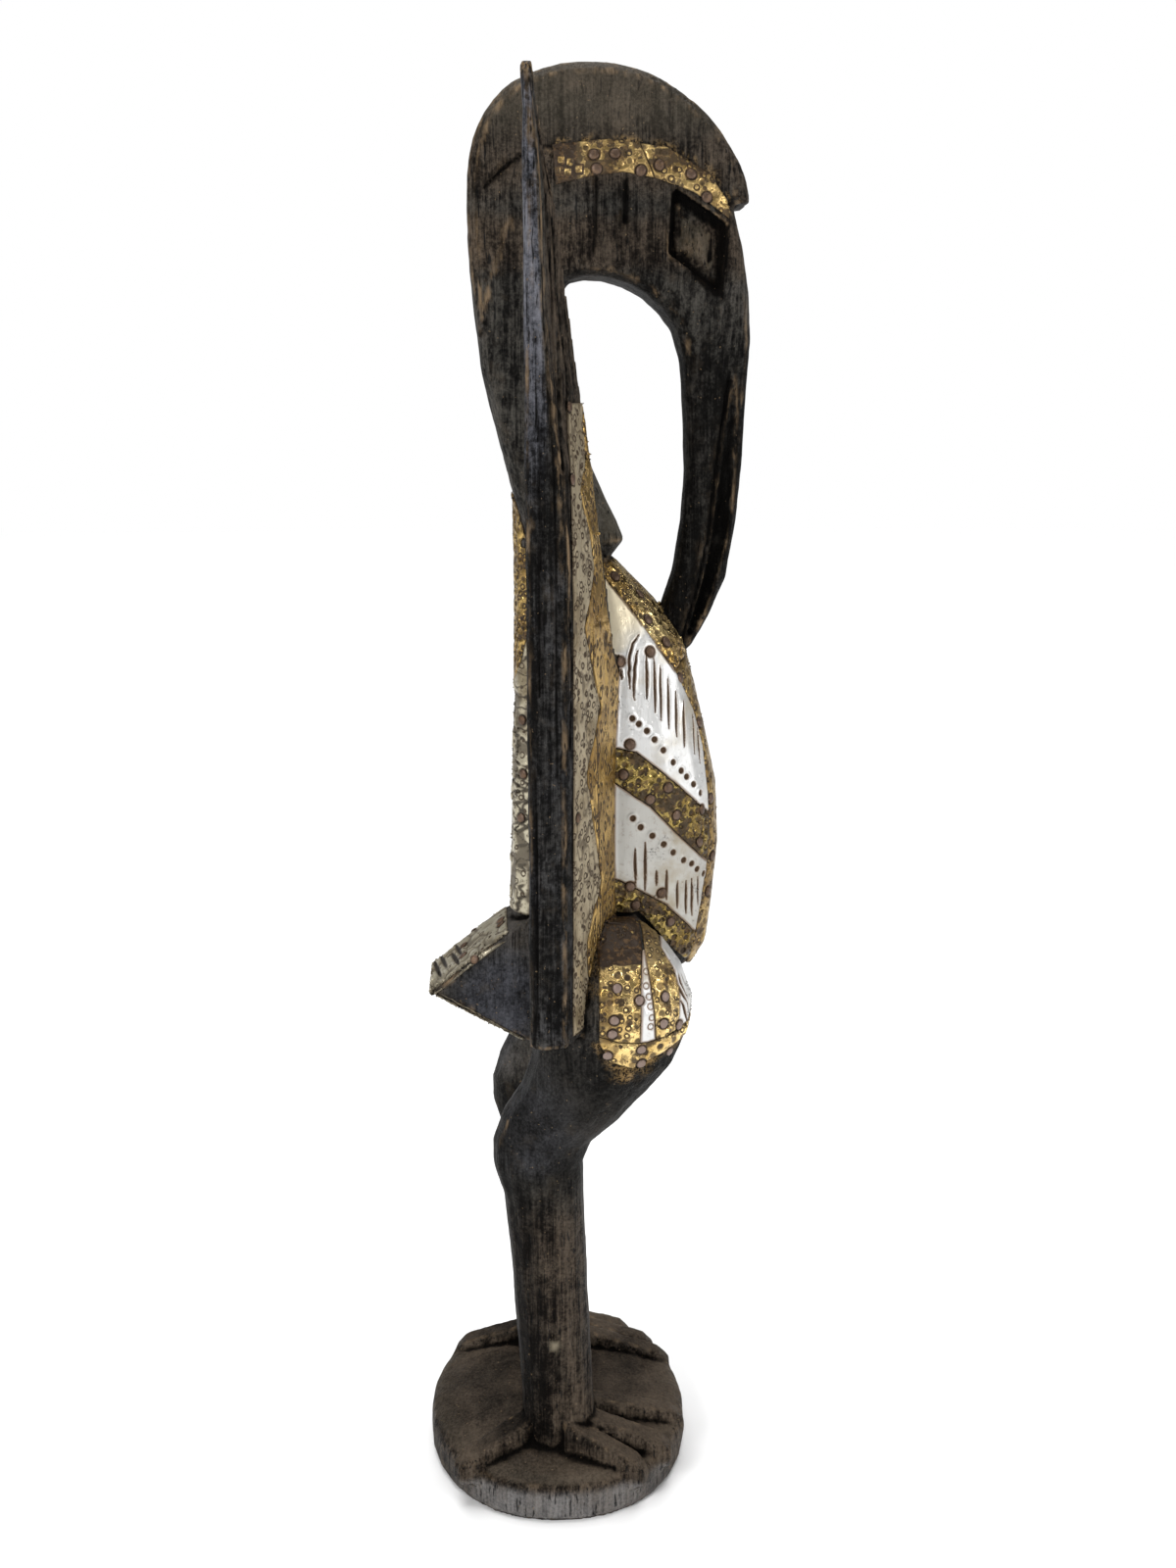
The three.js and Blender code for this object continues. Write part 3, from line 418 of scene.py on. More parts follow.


# the wings' outer faces, most of all high up, the outer legs and the tail's sides get a grey-blue painted
# sheen, and the head, the base and the wings' front faces are warm
outer_face = ease(out, 0.088, 0.094)
blue_sheen = np.maximum.reduce([
    0.85 * outer_face * ease(height, 0.5, 0.62) * (1 - ease(points[:, 0], -0.012, 0.0)),
    0.2 * outer_face * zone(height, 0.28, 0.3, 0.5, 0.62),
    0.35 * ball((-18, 62, 225), (38, 40, 60)),
    0.8 * ball((-32, 24, 285), (34, 14, 38)),
])  # fmt: skip
warm = np.maximum.reduce([
    0.75 * (1 - ease(height, 0.16, 0.21)),
    0.75 * zone(height, 0.665, 0.68, 0.69, 0.705),
    0.55 * ease(height, 0.7, 0.72),
])  # fmt: skip
warm *= np.where(height > 0.3, out < 0.05, 1)
warm = np.maximum(warm, 0.6 * (out > 0.05) * ease(height, 0.5, 0.55) * ease(normals[:, 0], 0.3, 0.8))
mark(wood.data, "tint", warm - blue_sheen)
# the base rim's outward sides: glossy, with a light grey painted highlight
rim_gloss_painted_sheen = (1 - ease(height, 0.015, 0.0205)) * ease(normals[:, 1] * np.sign(points[:, 1]), 0.35, 1.0)
rim_gloss_painted_sheen *= 0.75 + 0.25 * lumps(points, (0.006, 0.006, 0.012), 19)
mark(wood.data, "rim_gloss_painted_sheen", rim_gloss_painted_sheen * (normals[:, 2] > -0.5))
mark(wood.data, "putty", ball((-3.6, 62.6, 94.7), (4, 6, 4)))
# gilt dust clings to the wood by the thighs and the nape, over the brow bands and under the thigh bands
fleck = np.maximum(ball((22, 66, 304), (17, 20, 42)), 0.8 * ball((38, 80, 264), (16, 8, 7)))
fleck = np.maximum(fleck, ball((-20.5, 24, 721.5), (3.5, 6, 4)))
for name, tree in zip(sheets, cover):
    for start, over, fall in (("brow", 1, 330), ("thigh_band", -1, 200)):
        if name.startswith(start):
            corners = [corner.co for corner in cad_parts[name].data.vertices]
            for index in np.flatnonzero(gap_to(points, corners) < 0.012):
                found, _, _, gap = tree.find_nearest(points[index], 0.0042)
                if found is not None and (points[index, 2] - found.z) * over > 0.0005:
                    fleck[index] = max(fleck[index], 1 - fall * gap)
fleck *= ease(lumps(points, 0.006, 17), -0.5, 0.3)
fleck = np.maximum(fleck, 0.5 * ease(height, 0.748, 0.755) * (out > WING_OUT))
mark(wood.data, "fleck", fleck)
# the grain hardly shows where it ends in the surface, nor on the thighs, the tail and the crest's top
calm = np.maximum.reduce([
    ease(np.abs(normals[:, 2]), 0.5, 0.85),
    ball((0, 60, 235), (80, 60, 75)),
    ball((-36, 25, 285), (46, 20, 50)),
    0.6 * ease(height, 0.725, 0.74) * (out < 0.03),
])  # fmt: skip
mark(wood.data, "calm", calm)
# painted shade darkens the beak, what faces down, the wings low down, the back of the legs and the thighs,
# the tail's sides and the head under the brow
leg = zone(height, 0.03, 0.04, 0.2, 0.23)
painted_shade = np.maximum.reduce([
    0.85 * ease(points[:, 0], 0.05, 0.07) * zone(height, 0.47, 0.48, 0.62, 0.66),
    0.75 * ease(-normals[:, 2], 0.1, 0.8) * ease(height, 0.1, 0.12),
    0.75 * outer_face * zone(height, 0.28, 0.3, 0.56, 0.68),
    0.95 * (1 - ease(normals[:, 0], -0.5, 0.25)) * leg,
    0.9 * ease(out, 0.03, 0.05) * zone(height, 0.18, 0.2, 0.27, 0.3),
    0.5 * ball((-36, 25, 285), (60, 26, 60)),
    0.2 * zone(height, 0.65, 0.67, 0.705, 0.72) * ease(points[:, 0], 0.0, 0.02),
])  # fmt: skip
# paler tone on the bib, the eye's boss and the base's upward faces, and painted light on the crest's top;
# kept below 0 in the same mark as the painted shade
pale = 0.3 * ease(height, 0.73, 0.75) * (out < 0.03) + 0.9 * ball((30, 0, 552), (26, 40, 42)) + 0.6 * boss
pale += 0.22 * (1 - ease(height, 0.022, 0.03)) * ease(normals[:, 2], 0.5, 0.9)
mark(wood.data, "painted_shade", painted_shade - pale)


def plug(tree, node, feeds):
    """Feeds a node's inputs with numbers, colours or the sockets that lead into them."""
    for key, value in feeds.items():
        if isinstance(value, bpy.types.NodeSocket):
            tree.links.new(value, node.inputs[key])
        else:
            node.inputs[key].default_value = value


def put(tree, kind, feeds=None, **settings):
    """A shader node with its settings and feeds."""
    made = tree.nodes.new(kind)
    for key, value in settings.items():
        setattr(made, key, value)
    plug(tree, made, feeds or {})
    return made


def shade(tree, factor, dark, light):
    """A colour between two, by factor."""
    made = put(tree, "ShaderNodeMix", {0: factor, 6: dark, 7: light}, data_type="RGBA")
    return made.outputs[2]


def calc(tree, operation, *terms):
    return put(tree, "ShaderNodeMath", dict(enumerate(terms)), operation=operation).outputs[0]


def times(tree, first, second):
    return calc(tree, "MULTIPLY", first, second)


def times_plus(tree, first, second, third):
    """The third, with first times second added."""
    return calc(tree, "MULTIPLY_ADD", first, second, third)


def less(tree, first, second):
    return calc(tree, "SUBTRACT", first, second)


def most(tree, first, second):
    return calc(tree, "MAXIMUM", first, second)


def scaled(tree, place, scale):
    return put(tree, "ShaderNodeMapping", {"Vector": place, "Scale": scale}).outputs[0]


def noise(tree, place, scale, detail, rough):
    feeds = {"Vector": place, "Scale": scale, "Detail": detail, "Roughness": rough}
    return put(tree, "ShaderNodeTexNoise", feeds).outputs["Fac"]


def marked(tree, name):
    """The numbers that mark() keeps under a name."""
    return put(tree, "ShaderNodeAttribute", attribute_name=name).outputs["Fac"]


def between(tree, value, low, high):
    """0 below low and 1 above high."""
    feeds = {"Value": value, "From Min": low, "From Max": high}
    return put(tree, "ShaderNodeMapRange", feeds, interpolation_type="SMOOTHSTEP").outputs["Result"]


def new_effect(name, inputs, outputs):
    """An empty group for an effect that several finishes share."""
    group = bpy.data.node_groups.new(name, "ShaderNodeTree")
    for title, kind, value in inputs:
        socket = group.interface.new_socket(title, in_out="INPUT", socket_type=kind)
        socket.default_value = value
    for title, kind in outputs:
        group.interface.new_socket(title, in_out="OUTPUT", socket_type=kind)
    return group, group.nodes.new("NodeGroupInput"), group.nodes.new("NodeGroupOutput")


def new_finish(name):
    finish = bpy.data.materials.new(name)
    finish.use_nodes = True
    return finish, finish.node_tree, finish.node_tree.nodes["Principled BSDF"]


def lay_on(tree, shader, colour, matt, relief, strength, depth):
    """Leads a finish's colour, roughness and relief into its shader."""
    bump = put(tree, "ShaderNodeBump", {"Height": relief, "Strength": strength, "Distance": depth})
    plug(tree, shader, {"Base Color": colour, "Roughness": matt, "Normal": bump.outputs["Normal"]})


def effect(tree, group, **values):
    """One use of a shared effect, with its own values."""
    made = tree.nodes.new("ShaderNodeGroup")
    made.node_tree = group
    for key, value in values.items():
        made.inputs[key].default_value = value
    return made.outputs


# blotches: stains, bloom and patina that lie in patches, Size long and drawn out by Stretch
blotches, asked, given = new_effect(
    "blotches",
    (
        ("Size", "NodeSocketFloat", 60.0),
        ("Stretch", "NodeSocketVector", (1, 1, 1)),
        ("Low", "NodeSocketFloat", 0.45),
        ("High", "NodeSocketFloat", 0.6),
        ("Detail", "NodeSocketFloat", 4.0),
    ),
    (("Mask", "NodeSocketFloat"),),
)
place = put(blotches, "ShaderNodeTexCoord").outputs["Object"]
place = scaled(blotches, place, asked.outputs["Stretch"])
cloud = noise(blotches, place, asked.outputs["Size"], asked.outputs["Detail"], 0.62)
mask = between(blotches, cloud, asked.outputs["Low"], asked.outputs["High"])
blotches.links.new(mask, given.inputs["Mask"])

# grain: fine streaks and open pores that run up the trunk
grain, asked, given = new_effect(
    "grain",
    (("Fineness", "NodeSocketFloat", 700.0),),
    (
        ("Streak", "NodeSocketFloat"),
        ("Pore", "NodeSocketFloat"),
        ("Mottle", "NodeSocketFloat"),
        ("Height", "NodeSocketFloat"),
    ),
)
place = put(grain, "ShaderNodeTexCoord").outputs["Object"]
fineness = asked.outputs["Fineness"]
streak = noise(grain, scaled(grain, place, (1, 1, 0.045)), fineness, 5.0, 0.68)
pore = between(grain, noise(grain, scaled(grain, place, (1, 1, 0.16)), fineness, 2.0, 0.5), 0.40, 0.31)
mottle = noise(grain, place, fineness, 6.0, 0.72)
relief = times_plus(grain, mottle, 0.9, times(grain, streak, 0.7))
plug(grain, given, {
    "Streak": between(grain, streak, 0.36, 0.66),
    "Pore": pore,
    "Mottle": between(grain, mottle, 0.34, 0.66),
    "Height": less(grain, relief, times(grain, pore, 0.6)),
})  # fmt: skip

finish, tree, shader = new_finish("old dark wood")
lines = effect(tree, grain, Fineness=640.0)
coarse = effect(tree, grain, Fineness=170.0)
patch = effect(tree, blotches, Size=15.0, Low=0.36, High=0.66, Detail=6.0)["Mask"]
dust = effect(tree, blotches, Size=90.0, Low=0.54, High=0.72, Detail=8.0)["Mask"]
rub = effect(tree, blotches, Size=190.0, Low=0.40, High=0.62, Detail=6.0, Stretch=(1, 1, 0.35))["Mask"]
spot = effect(tree, blotches, Size=520.0, Low=0.745, High=0.765, Detail=1.0)["Mask"]
titles = ("worn", "sunk", "tint", "rim_gloss_painted_sheen", "putty", "fleck", "painted_shade", "calm")
marks = {title: marked(tree, title) for title in titles}
# grey-blue painted sheen where the tint mark is below 0
blue_sheen = between(tree, times_plus(tree, patch, -0.3, marks["tint"]), -0.1, -0.9)
warm = between(tree, times_plus(tree, patch, 0.45, marks["tint"]), 0.1, 0.95)
streak = times_plus(tree, coarse["Streak"], 0.18, times(tree, lines["Streak"], 0.2))
streak = times_plus(tree, lines["Mottle"], 0.17, streak)
streak = times_plus(tree, coarse["Mottle"], 0.2, streak)
streak = times_plus(tree, patch, 0.19, streak)
even = times_plus(tree, lines["Mottle"], 0.14, times_plus(tree, patch, 0.22, 0.33))
even = less(tree, even, streak)
streak = times_plus(tree, even, times(tree, marks["calm"], 0.8), streak)
# painted shade: the marked places are drawn darker, down to near black
deep = put(tree, "ShaderNodeMapRange", {"Value": marks["painted_shade"]}).outputs[0]
streak = between(tree, times_plus(tree, deep, -0.16, streak), 0.19, 0.80)
colour = shade(tree, streak, (0.003, 0.0027, 0.0024, 1), (0.058, 0.053, 0.044, 1))
brown = shade(tree, streak, (0.004, 0.0026, 0.0018, 1), (0.088, 0.064, 0.043, 1))
sheen_slate = shade(tree, streak, (0.005, 0.0055, 0.007, 1), (0.145, 0.147, 0.170, 1))
colour = shade(tree, warm, colour, brown)
colour = shade(tree, blue_sheen, colour, sheen_slate)
colour = shade(tree, times(tree, dust, 0.3), colour, (0.085, 0.068, 0.05, 1))
colour = shade(tree, times(tree, deep, 0.55), colour, (0.002, 0.0018, 0.0015, 1))
# below 0 the colour turns paler: a paler tone, with painted light on the crest's top
feeds = {"Value": marks["painted_shade"], "From Max": -1.0, "To Max": 0.6}
pale = put(tree, "ShaderNodeMapRange", feeds).outputs[0]
colour = shade(tree, pale, colour, (0.105, 0.092, 0.066, 1))
# painted highlight: the base rim's sides drawn light grey, and made glossier
gloss_painted_sheen = times_plus(tree, lines["Streak"], 0.3, times_plus(tree, lines["Mottle"], 0.35, 0.4))
gloss_painted_sheen = times(tree, marks["rim_gloss_painted_sheen"], gloss_painted_sheen)
colour = shade(tree, times(tree, gloss_painted_sheen, 0.85), colour, (0.25, 0.24, 0.235, 1))
edge = times(tree, marks["worn"], rub)
colour = shade(tree, times(tree, edge, 0.85), colour, (0.21, 0.145, 0.085, 1))
# painted shade in hollows, cracks and grooves, drawn near black
colour = shade(tree, times(tree, marks["sunk"], 0.96), colour, (0.0015, 0.0012, 0.001, 1))
open_pore = times(tree, lines["Pore"], times_plus(tree, marks["calm"], -0.7, 0.9))
colour = shade(tree, open_pore, colour, (0.0012, 0.001, 0.0009, 1))
colour = shade(tree, times(tree, spot, 0.5), colour, (0.2, 0.14, 0.08, 1))
gilt = times(tree, marks["fleck"], between(tree, lines["Mottle"], 0.25, 0.6))
colour = shade(tree, gilt, colour, (0.30, 0.19, 0.075, 1))
colour = shade(tree, marks["putty"], colour, (0.2, 0.17, 0.12, 1))
matt = times_plus(tree, streak, 0.12, 0.5)
matt = times_plus(tree, patch, 0.1, matt)
matt = times_plus(tree, marks["sunk"], 0.25, matt)
matt = times_plus(tree, gloss_painted_sheen, -0.2, matt)
relief = times_plus(tree, coarse["Height"], 1.8, lines["Height"])
relief = times(tree, relief, times_plus(tree, marks["calm"], -0.65, 1.0))
lay_on(tree, shader, colour, matt, relief, 0.9, 0.0009)
sheen = times(tree, streak, less(tree, 1.0, marks["sunk"]))
sheen = times_plus(tree, sheen, 0.22, 0.04)
plug(tree, shader, {"Specular IOR Level": times_plus(tree, gloss_painted_sheen, 0.25, sheen)})
wood.data.materials.append(finish)
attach(wood, "root")
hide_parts("carved_bird")


# The belly's side is covered with thin bright sheets and brass bands, cut by hand, hammered down to the
# wood and nailed round their edges. Strokes and round holes were punched into the sheets from outside, and
# low round tack heads of copper, brass and steel, gone brown, hold them.
SHEET_LIFT = 0.0009
SHEET_THICK = 0.0008
SHEET_KEPT = 0.4
TACK_RADIUS = 0.0026
HEAD_PROFILE = ((0.05, 1.0), (0.42, 0.95), (0.74, 0.78), (0.93, 0.45), (1.0, 0.05), (0.95, -0.35))
HEAD_SIDES = 16
UPPER_STROKES = (
    ((33.8, 473.6), (34, 468)), ((43.5, 490), (40.2, 486), (38.4, 480), (37.9, 471), (38.2, 463)),
    ((42.6, 482), (41, 474), (40.4, 464), (40.6, 457)), ((47.4, 479), (47.3, 457)),
    ((51.6, 477.7), (51.8, 450)), ((54.8, 473.4), (55, 445.6)), ((59.0, 466.5), (59.4, 440.6)),
    ((63.4, 459.3), (63.8, 436)), ((67.8, 454), (68.3, 430)), ((73.6, 445.6), (74.2, 425)),
    ((76.4, 438), (77.6, 419)),
)  # fmt: skip
LOWER_STROKES = (
    ((41.2, 377.8), (41.4, 357.4)), ((46.6, 380.7), (46.9, 353.6)), ((53.1, 364.5), (53.3, 356)),
    ((58.5, 364.5), (58.9, 347)), ((64.9, 357), (65.2, 341)), ((69.8, 356), (70.5, 336.7)),
    ((73.2, 357), (73.9, 335)), ((76.9, 357), (77.4, 340)),
)  # fmt: skip
UPPER_HOLES = (
    (39.4, 447.6), (43, 444.4), (47.2, 440.6), (51.4, 435.8), (56.3, 429.7), (61.7, 422.9),
    (66.2, 417.6), (69.5, 414), (73.7, 409.5), (77.8, 403.9),
)  # fmt: skip
LOWER_HOLES = (
    (40, 394.5), (44.2, 389.4), (50.6, 384.2), (56.6, 378.9), (62.2, 373.8), (68.3, 368.6),
    (72.9, 365.5), (76, 361.9), (80.4, 357.8),
)  # fmt: skip
BELLY_TACKS = (
    (33.3, -39.3, 477.2), (49.7, -34.1, 481.4), (38.3, -43.9, 433.9), (38.8, -43.8, 356.3),
    (56.5, -40.7, 351.1), (34.7, -45.4, 418), (49.4, -43.5, 404), (59.1, -40.4, 409.5),
    (64.1, -39.1, 394.1), (79.6, -28.9, 394.5), (77.5, -30.9, 377), (42.1, -42.7, 345.4),
    (62, -36.1, 333.5),
)  # fmt: skip
RIM_TACKS = (
    (32.5, -22.1, 520), (45.8, -17.9, 510.2), (49.8, -26.4, 497.8), (58.7, -26.4, 485.3),
    (66.3, -25.2, 465.7), (78.1, -18.4, 440.3), (84.9, -20.8, 398.4), (86.7, -19.8, 366),
    (84.3, -19.8, 345.8),
)  # fmt: skip


def cut_sheet(node, edge):
    """The outer skin of a packed sheet, its nail heads closed over, in small even triangles on the wood."""
    sheet = copy_of(node, node + "_metal")
    skin = bmesh.new()
    skin.from_mesh(sheet.data)
    spare = []
    for face in skin.faces:
        hit = block.ray_cast(face.calc_center_median() + face.normal * 0.0001, -face.normal, 0.004)
        if hit[0] is None or not 0.0008 < hit[3] < 0.0021:
            spare.append(face)
    bmesh.ops.delete(skin, geom=spare, context="FACES")
    rims = dict.fromkeys(e for e in skin.edges if e.is_boundary)
    while rims:
        loop = [rims.popitem()[0]]
        for found in loop:
            for corner in found.verts:
                for near in corner.link_edges:
                    if near in rims:
                        rims.pop(near)
                        loop.append(near)
        corners = np.array([corner.co for found in loop for corner in found.verts])
        if np.linalg.norm(np.ptp(corners, axis=0)) < 0.0105:
            bmesh.ops.edgeloop_fill(skin, edges=loop)
    bmesh.ops.triangulate(skin, faces=skin.faces[:])
    for _ in range(9):
        long = [e for e in skin.edges if e.calc_length() > edge]
        if not long:
            break
        bmesh.ops.subdivide_edges(skin, edges=long, cuts=1)
        bmesh.ops.triangulate(skin, faces=[f for f in skin.faces if len(f.verts) > 3])
        inner = [e for e in skin.edges if not e.is_boundary]
        bmesh.ops.beautify_fill(skin, faces=skin.faces[:], edges=inner)
    skin.to_mesh(sheet.data)
    rim = np.array([corner.is_boundary for corner in skin.verts])
    skin.free()
    points = relax(points_of(sheet.data), edges_of(sheet.data), 1.0 - rim, 4)
    for index, spot in enumerate(points):
        found, normal, _, _ = core.find_nearest(spot)
        points[index] = found + normal * SHEET_LIFT
    set_points(sheet.data, points)
    inset = gap_to(points, points[rim])
    return sheet, points, inset


def with_more(height, stain, relief):
    """A sheet's height and stain with one more relief beaten into it."""
    return height + relief[0], np.maximum(stain, relief[1])


def on_both(spots):
    """Spots of the right side in mm as places in metres, with their mirror images."""
    spots = np.array(spots, float) / 1000
    return np.concatenate([spots, spots * (1, -1, 1)])


def on_sheet(points, spots, side):
    """The points of a sheet nearest to spots given as (x, z) in mm, on the side of y that side gives."""
    flat = points[:, (0, 2)]
    away = np.where(points[:, 1] * side > 0, 0, 1)
    spots = [np.array(spot) / 1000 for spot in spots]
    return np.array([points[np.argmin(np.linalg.norm(flat - spot, axis=1) + away)] for spot in spots])


def hollows(points, spots, radius, depth):
    """Height and stain of round punched hollows with a raised lip."""
    height = np.zeros(len(points))
    stain = np.zeros(len(points))
    for spot in spots:
        gap = np.linalg.norm(points - spot, axis=1)
        height -= depth * (1 - ease(gap, 0.5 * radius, radius))
        height += 0.45 * depth * np.exp(-(((gap - 1.3 * radius) / (0.35 * radius)) ** 2))
        stain = np.maximum(stain, 1 - ease(gap, 0.85 * radius, 1.2 * radius))
    return height, stain


def ringed(points, spots, radius, depth):
    """Height and stain of round bosses, each with a stained groove round it."""
    gap = gap_to(points, spots)
    groove = np.exp(-(((gap - radius) / (0.24 * radius)) ** 2))
    return depth * (0.6 * (1 - ease(gap, 0.3 * radius, radius)) - groove), groove


def stroke(points, path, half_width, depth):
    """Height and stain of one tapered stroke along a path of places in metres."""
    gap = from_path(points, path, 0.006)
    along = path[-1] - path[0]
    share = np.clip((points - path[0]) @ along / (along @ along), 0, 1)
    half = half_width * (0.35 + 0.65 * np.sin(np.pi * np.clip(share, 0.03, 0.97)) ** 0.6)
    height = -depth * (1 - ease(gap, 0.25 * half, half))
    height += 0.4 * depth * np.exp(-(((gap - 1.5 * half) / (0.5 * half)) ** 2))
    return height, 1 - ease(gap, 0.7 * half, 1.4 * half)


def strokes(points, lines, side, half_width, depth):
    """Strokes whose (x, z) points are given in mm, on one side of the bird."""
    height = np.zeros(len(points))
    stain = np.zeros(len(points))
    for line in lines:
        ends = np.array(line)
        dense = [np.linspace(start, end, 9)[:-1] for start, end in zip(ends[:-1], ends[1:])]
        path = on_sheet(points, np.concatenate(dense + [ends[-1:]]), side)
        links = np.array([(k, k + 1) for k in range(len(path) - 1)])
        path = relax(path, links, np.r_[0, np.ones(len(path) - 2), 0], 3)
        height, stain = with_more(height, stain, stroke(points, path, half_width, depth))
    return height, stain


def punched(points, spacing, depth, seed, width=0.46):
    """Height and stain of the marks of a round punch, set about spacing apart, some struck deeper."""
    chance = np.random.default_rng(seed)
    left = chance.permutation(len(points))
    marks = []
    while len(left):
        marks.append(points[left[0]])
        left = left[np.linalg.norm(points[left] - marks[-1], axis=1) > spacing]
    tree = KDTree(len(marks))
    for index, spot in enumerate(marks):
        tree.insert(spot, index)
    tree.balance()
    found = [tree.find(spot) for spot in points]
    gap = np.array([f[2] for f in found])
    struck = chance.uniform(0.3, 1, len(marks))[[f[1] for f in found]]
    pit = struck * (1 - ease(gap, 0.5 * width * spacing, width * spacing))
    return depth * (0.35 - pit), pit


def creased(points, size, seed):
    """0 to 1 on the winding folds of sheet that was crumpled and beaten flat again."""
    wander = lumps(points, size, seed) + 0.45 * lumps(points, np.asarray(size) * 0.45, seed + 1)
    return 1 - ease(np.abs(wander), 0.04, 0.22)


def close_sheet(sheet, points, inset, height, stain, tacks, finish):
    """Turns a sheet's edge down, gives it its thickness and beats in its relief and a dip at each tack."""
    normals = normals_of(sheet.data)
    gap = gap_to(points, tacks)
    calm = ease(gap, TACK_RADIUS * 0.9, TACK_RADIUS * 1.5)
    height = height * calm - 0.00035 * (1 - ease(gap, TACK_RADIUS, TACK_RADIUS * 1.7))
    stain = np.maximum(stain, 1 - ease(gap, TACK_RADIUS * 1.15, TACK_RADIUS * 1.6))
    height = height - 0.00045 * (1 - ease(inset, 0, 0.0011))
    height = height + 0.00012 * lumps(points, 0.009, 7) + 0.00006 * lumps(points, 0.0035, 8)
    mark(sheet.data, "stain", stain)
    mark(sheet.data, "inset", inset * 1000)
    apply_modifier(sheet, "SOLIDIFY", thickness=SHEET_THICK, offset=-1, use_rim=True)
    beaten = points_of(sheet.data)
    beaten[: len(points)] += normals * np.clip(height, -0.00065, 0.00055)[:, None]
    set_points(sheet.data, beaten)
    apply_modifier(sheet, "DECIMATE", ratio=SHEET_KEPT)
    bpy.ops.object.select_all(action="DESELECT")
    sheet.select_set(True)
    bpy.ops.object.shade_smooth_by_angle(angle=math.radians(50))
    sheet.data.materials.clear()
    sheet.data.materials.append(finish)
    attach(sheet, "root")
    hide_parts(sheet.name.removesuffix("_metal"))


def nail_head(spot, radius, seed):
    """Points and faces of one low, dented round head on the sheet under it."""
    chance = np.random.default_rng(seed)
    found, normal, _, _ = core.find_nearest(Vector(spot))
    turn = Vector(normal).to_track_quat("Z", "Y").to_matrix()
    turn = turn @ Matrix.Rotation(chance.uniform(0, 6.28), 3, "Z")
    around = np.linspace(0, 2 * math.pi, HEAD_SIDES, endpoint=False)
    wobble = 1 + 0.05 * np.sin(2 * around + chance.uniform(0, 6))
    wobble = wobble + 0.03 * np.sin(3 * around + chance.uniform(0, 6))
    rows = []
    for share, rise in HEAD_PROFILE:
        dent = chance.uniform(-0.14, 0.14, HEAD_SIDES) * (share < 0.9)
        out = radius * share * wobble
        level = SHEET_LIFT + radius * 0.36 * (rise + dent * share)
        rows.append(np.c_[out * np.cos(around), out * np.sin(around), level])
    shape = np.concatenate(rows) @ np.array(turn).T + np.array(found)
    faces = [tuple(range(HEAD_SIDES))]
    for row in range(0, (len(HEAD_PROFILE) - 1) * HEAD_SIDES, HEAD_SIDES):
        for k in range(HEAD_SIDES):
            n = (k + 1) % HEAD_SIDES
            faces.append((row + k, row + HEAD_SIDES + k, row + HEAD_SIDES + n, row + n))
    faces.append(tuple(len(shape) - 1 - k for k in range(HEAD_SIDES)))
    return shape, faces


def nail_down(name, spots, radius, finish, seed):
    """One mesh of nail heads at the spots, given in metres."""
    vertices, faces = [], []
    for number, spot in enumerate(spots):
        shape, loops = nail_head(spot, radius, seed + number)
        faces += [tuple(index + len(vertices) for index in loop) for loop in loops]
        vertices += shape.tolist()
    mesh = bpy.data.meshes.new(name)
    mesh.from_pydata(vertices, [], faces)
    mesh.update()
    nails = bpy.data.objects.new(name, mesh)
    bpy.context.collection.objects.link(nails)
    bpy.ops.object.select_all(action="DESELECT")
    nails.select_set(True)
    bpy.context.view_layer.objects.active = nails
    bpy.ops.object.shade_smooth_by_angle(angle=math.radians(60))
    mesh.materials.append(finish)
    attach(nails, "root")


# rings: the marks of a hollow punch, a dark groove round a bright middle, set close together
rings, asked, given = new_effect(
    "punched rings",
    (
        ("Count", "NodeSocketFloat", 300.0),
        ("Stretch", "NodeSocketVector", (1, 1, 1)),
        ("Cover", "NodeSocketFloat", 0.6),
    ),
    (("Groove", "NodeSocketFloat"), ("Middle", "NodeSocketFloat")),
)
place = put(rings, "ShaderNodeTexCoord").outputs["Object"]
place = scaled(rings, place, asked.outputs["Stretch"])
feeds = {"Vector": place, "Scale": asked.outputs["Count"], "Randomness": 0.9}
cells = put(rings, "ShaderNodeTexVoronoi", feeds)
apart = calc(rings, "ABSOLUTE", less(rings, cells.outputs["Distance"], 0.33))
groove = between(rings, apart, 0.15, 0.05)
kept = put(rings, "ShaderNodeSeparateColor", {"Color": cells.outputs["Color"]}).outputs[0]
kept = between(rings, less(rings, asked.outputs["Cover"], kept), 0.0, 0.05)
middle = between(rings, cells.outputs["Distance"], 0.24, 0.12)
plug(rings, given, {"Groove": times(rings, groove, kept), "Middle": times(rings, middle, kept)})


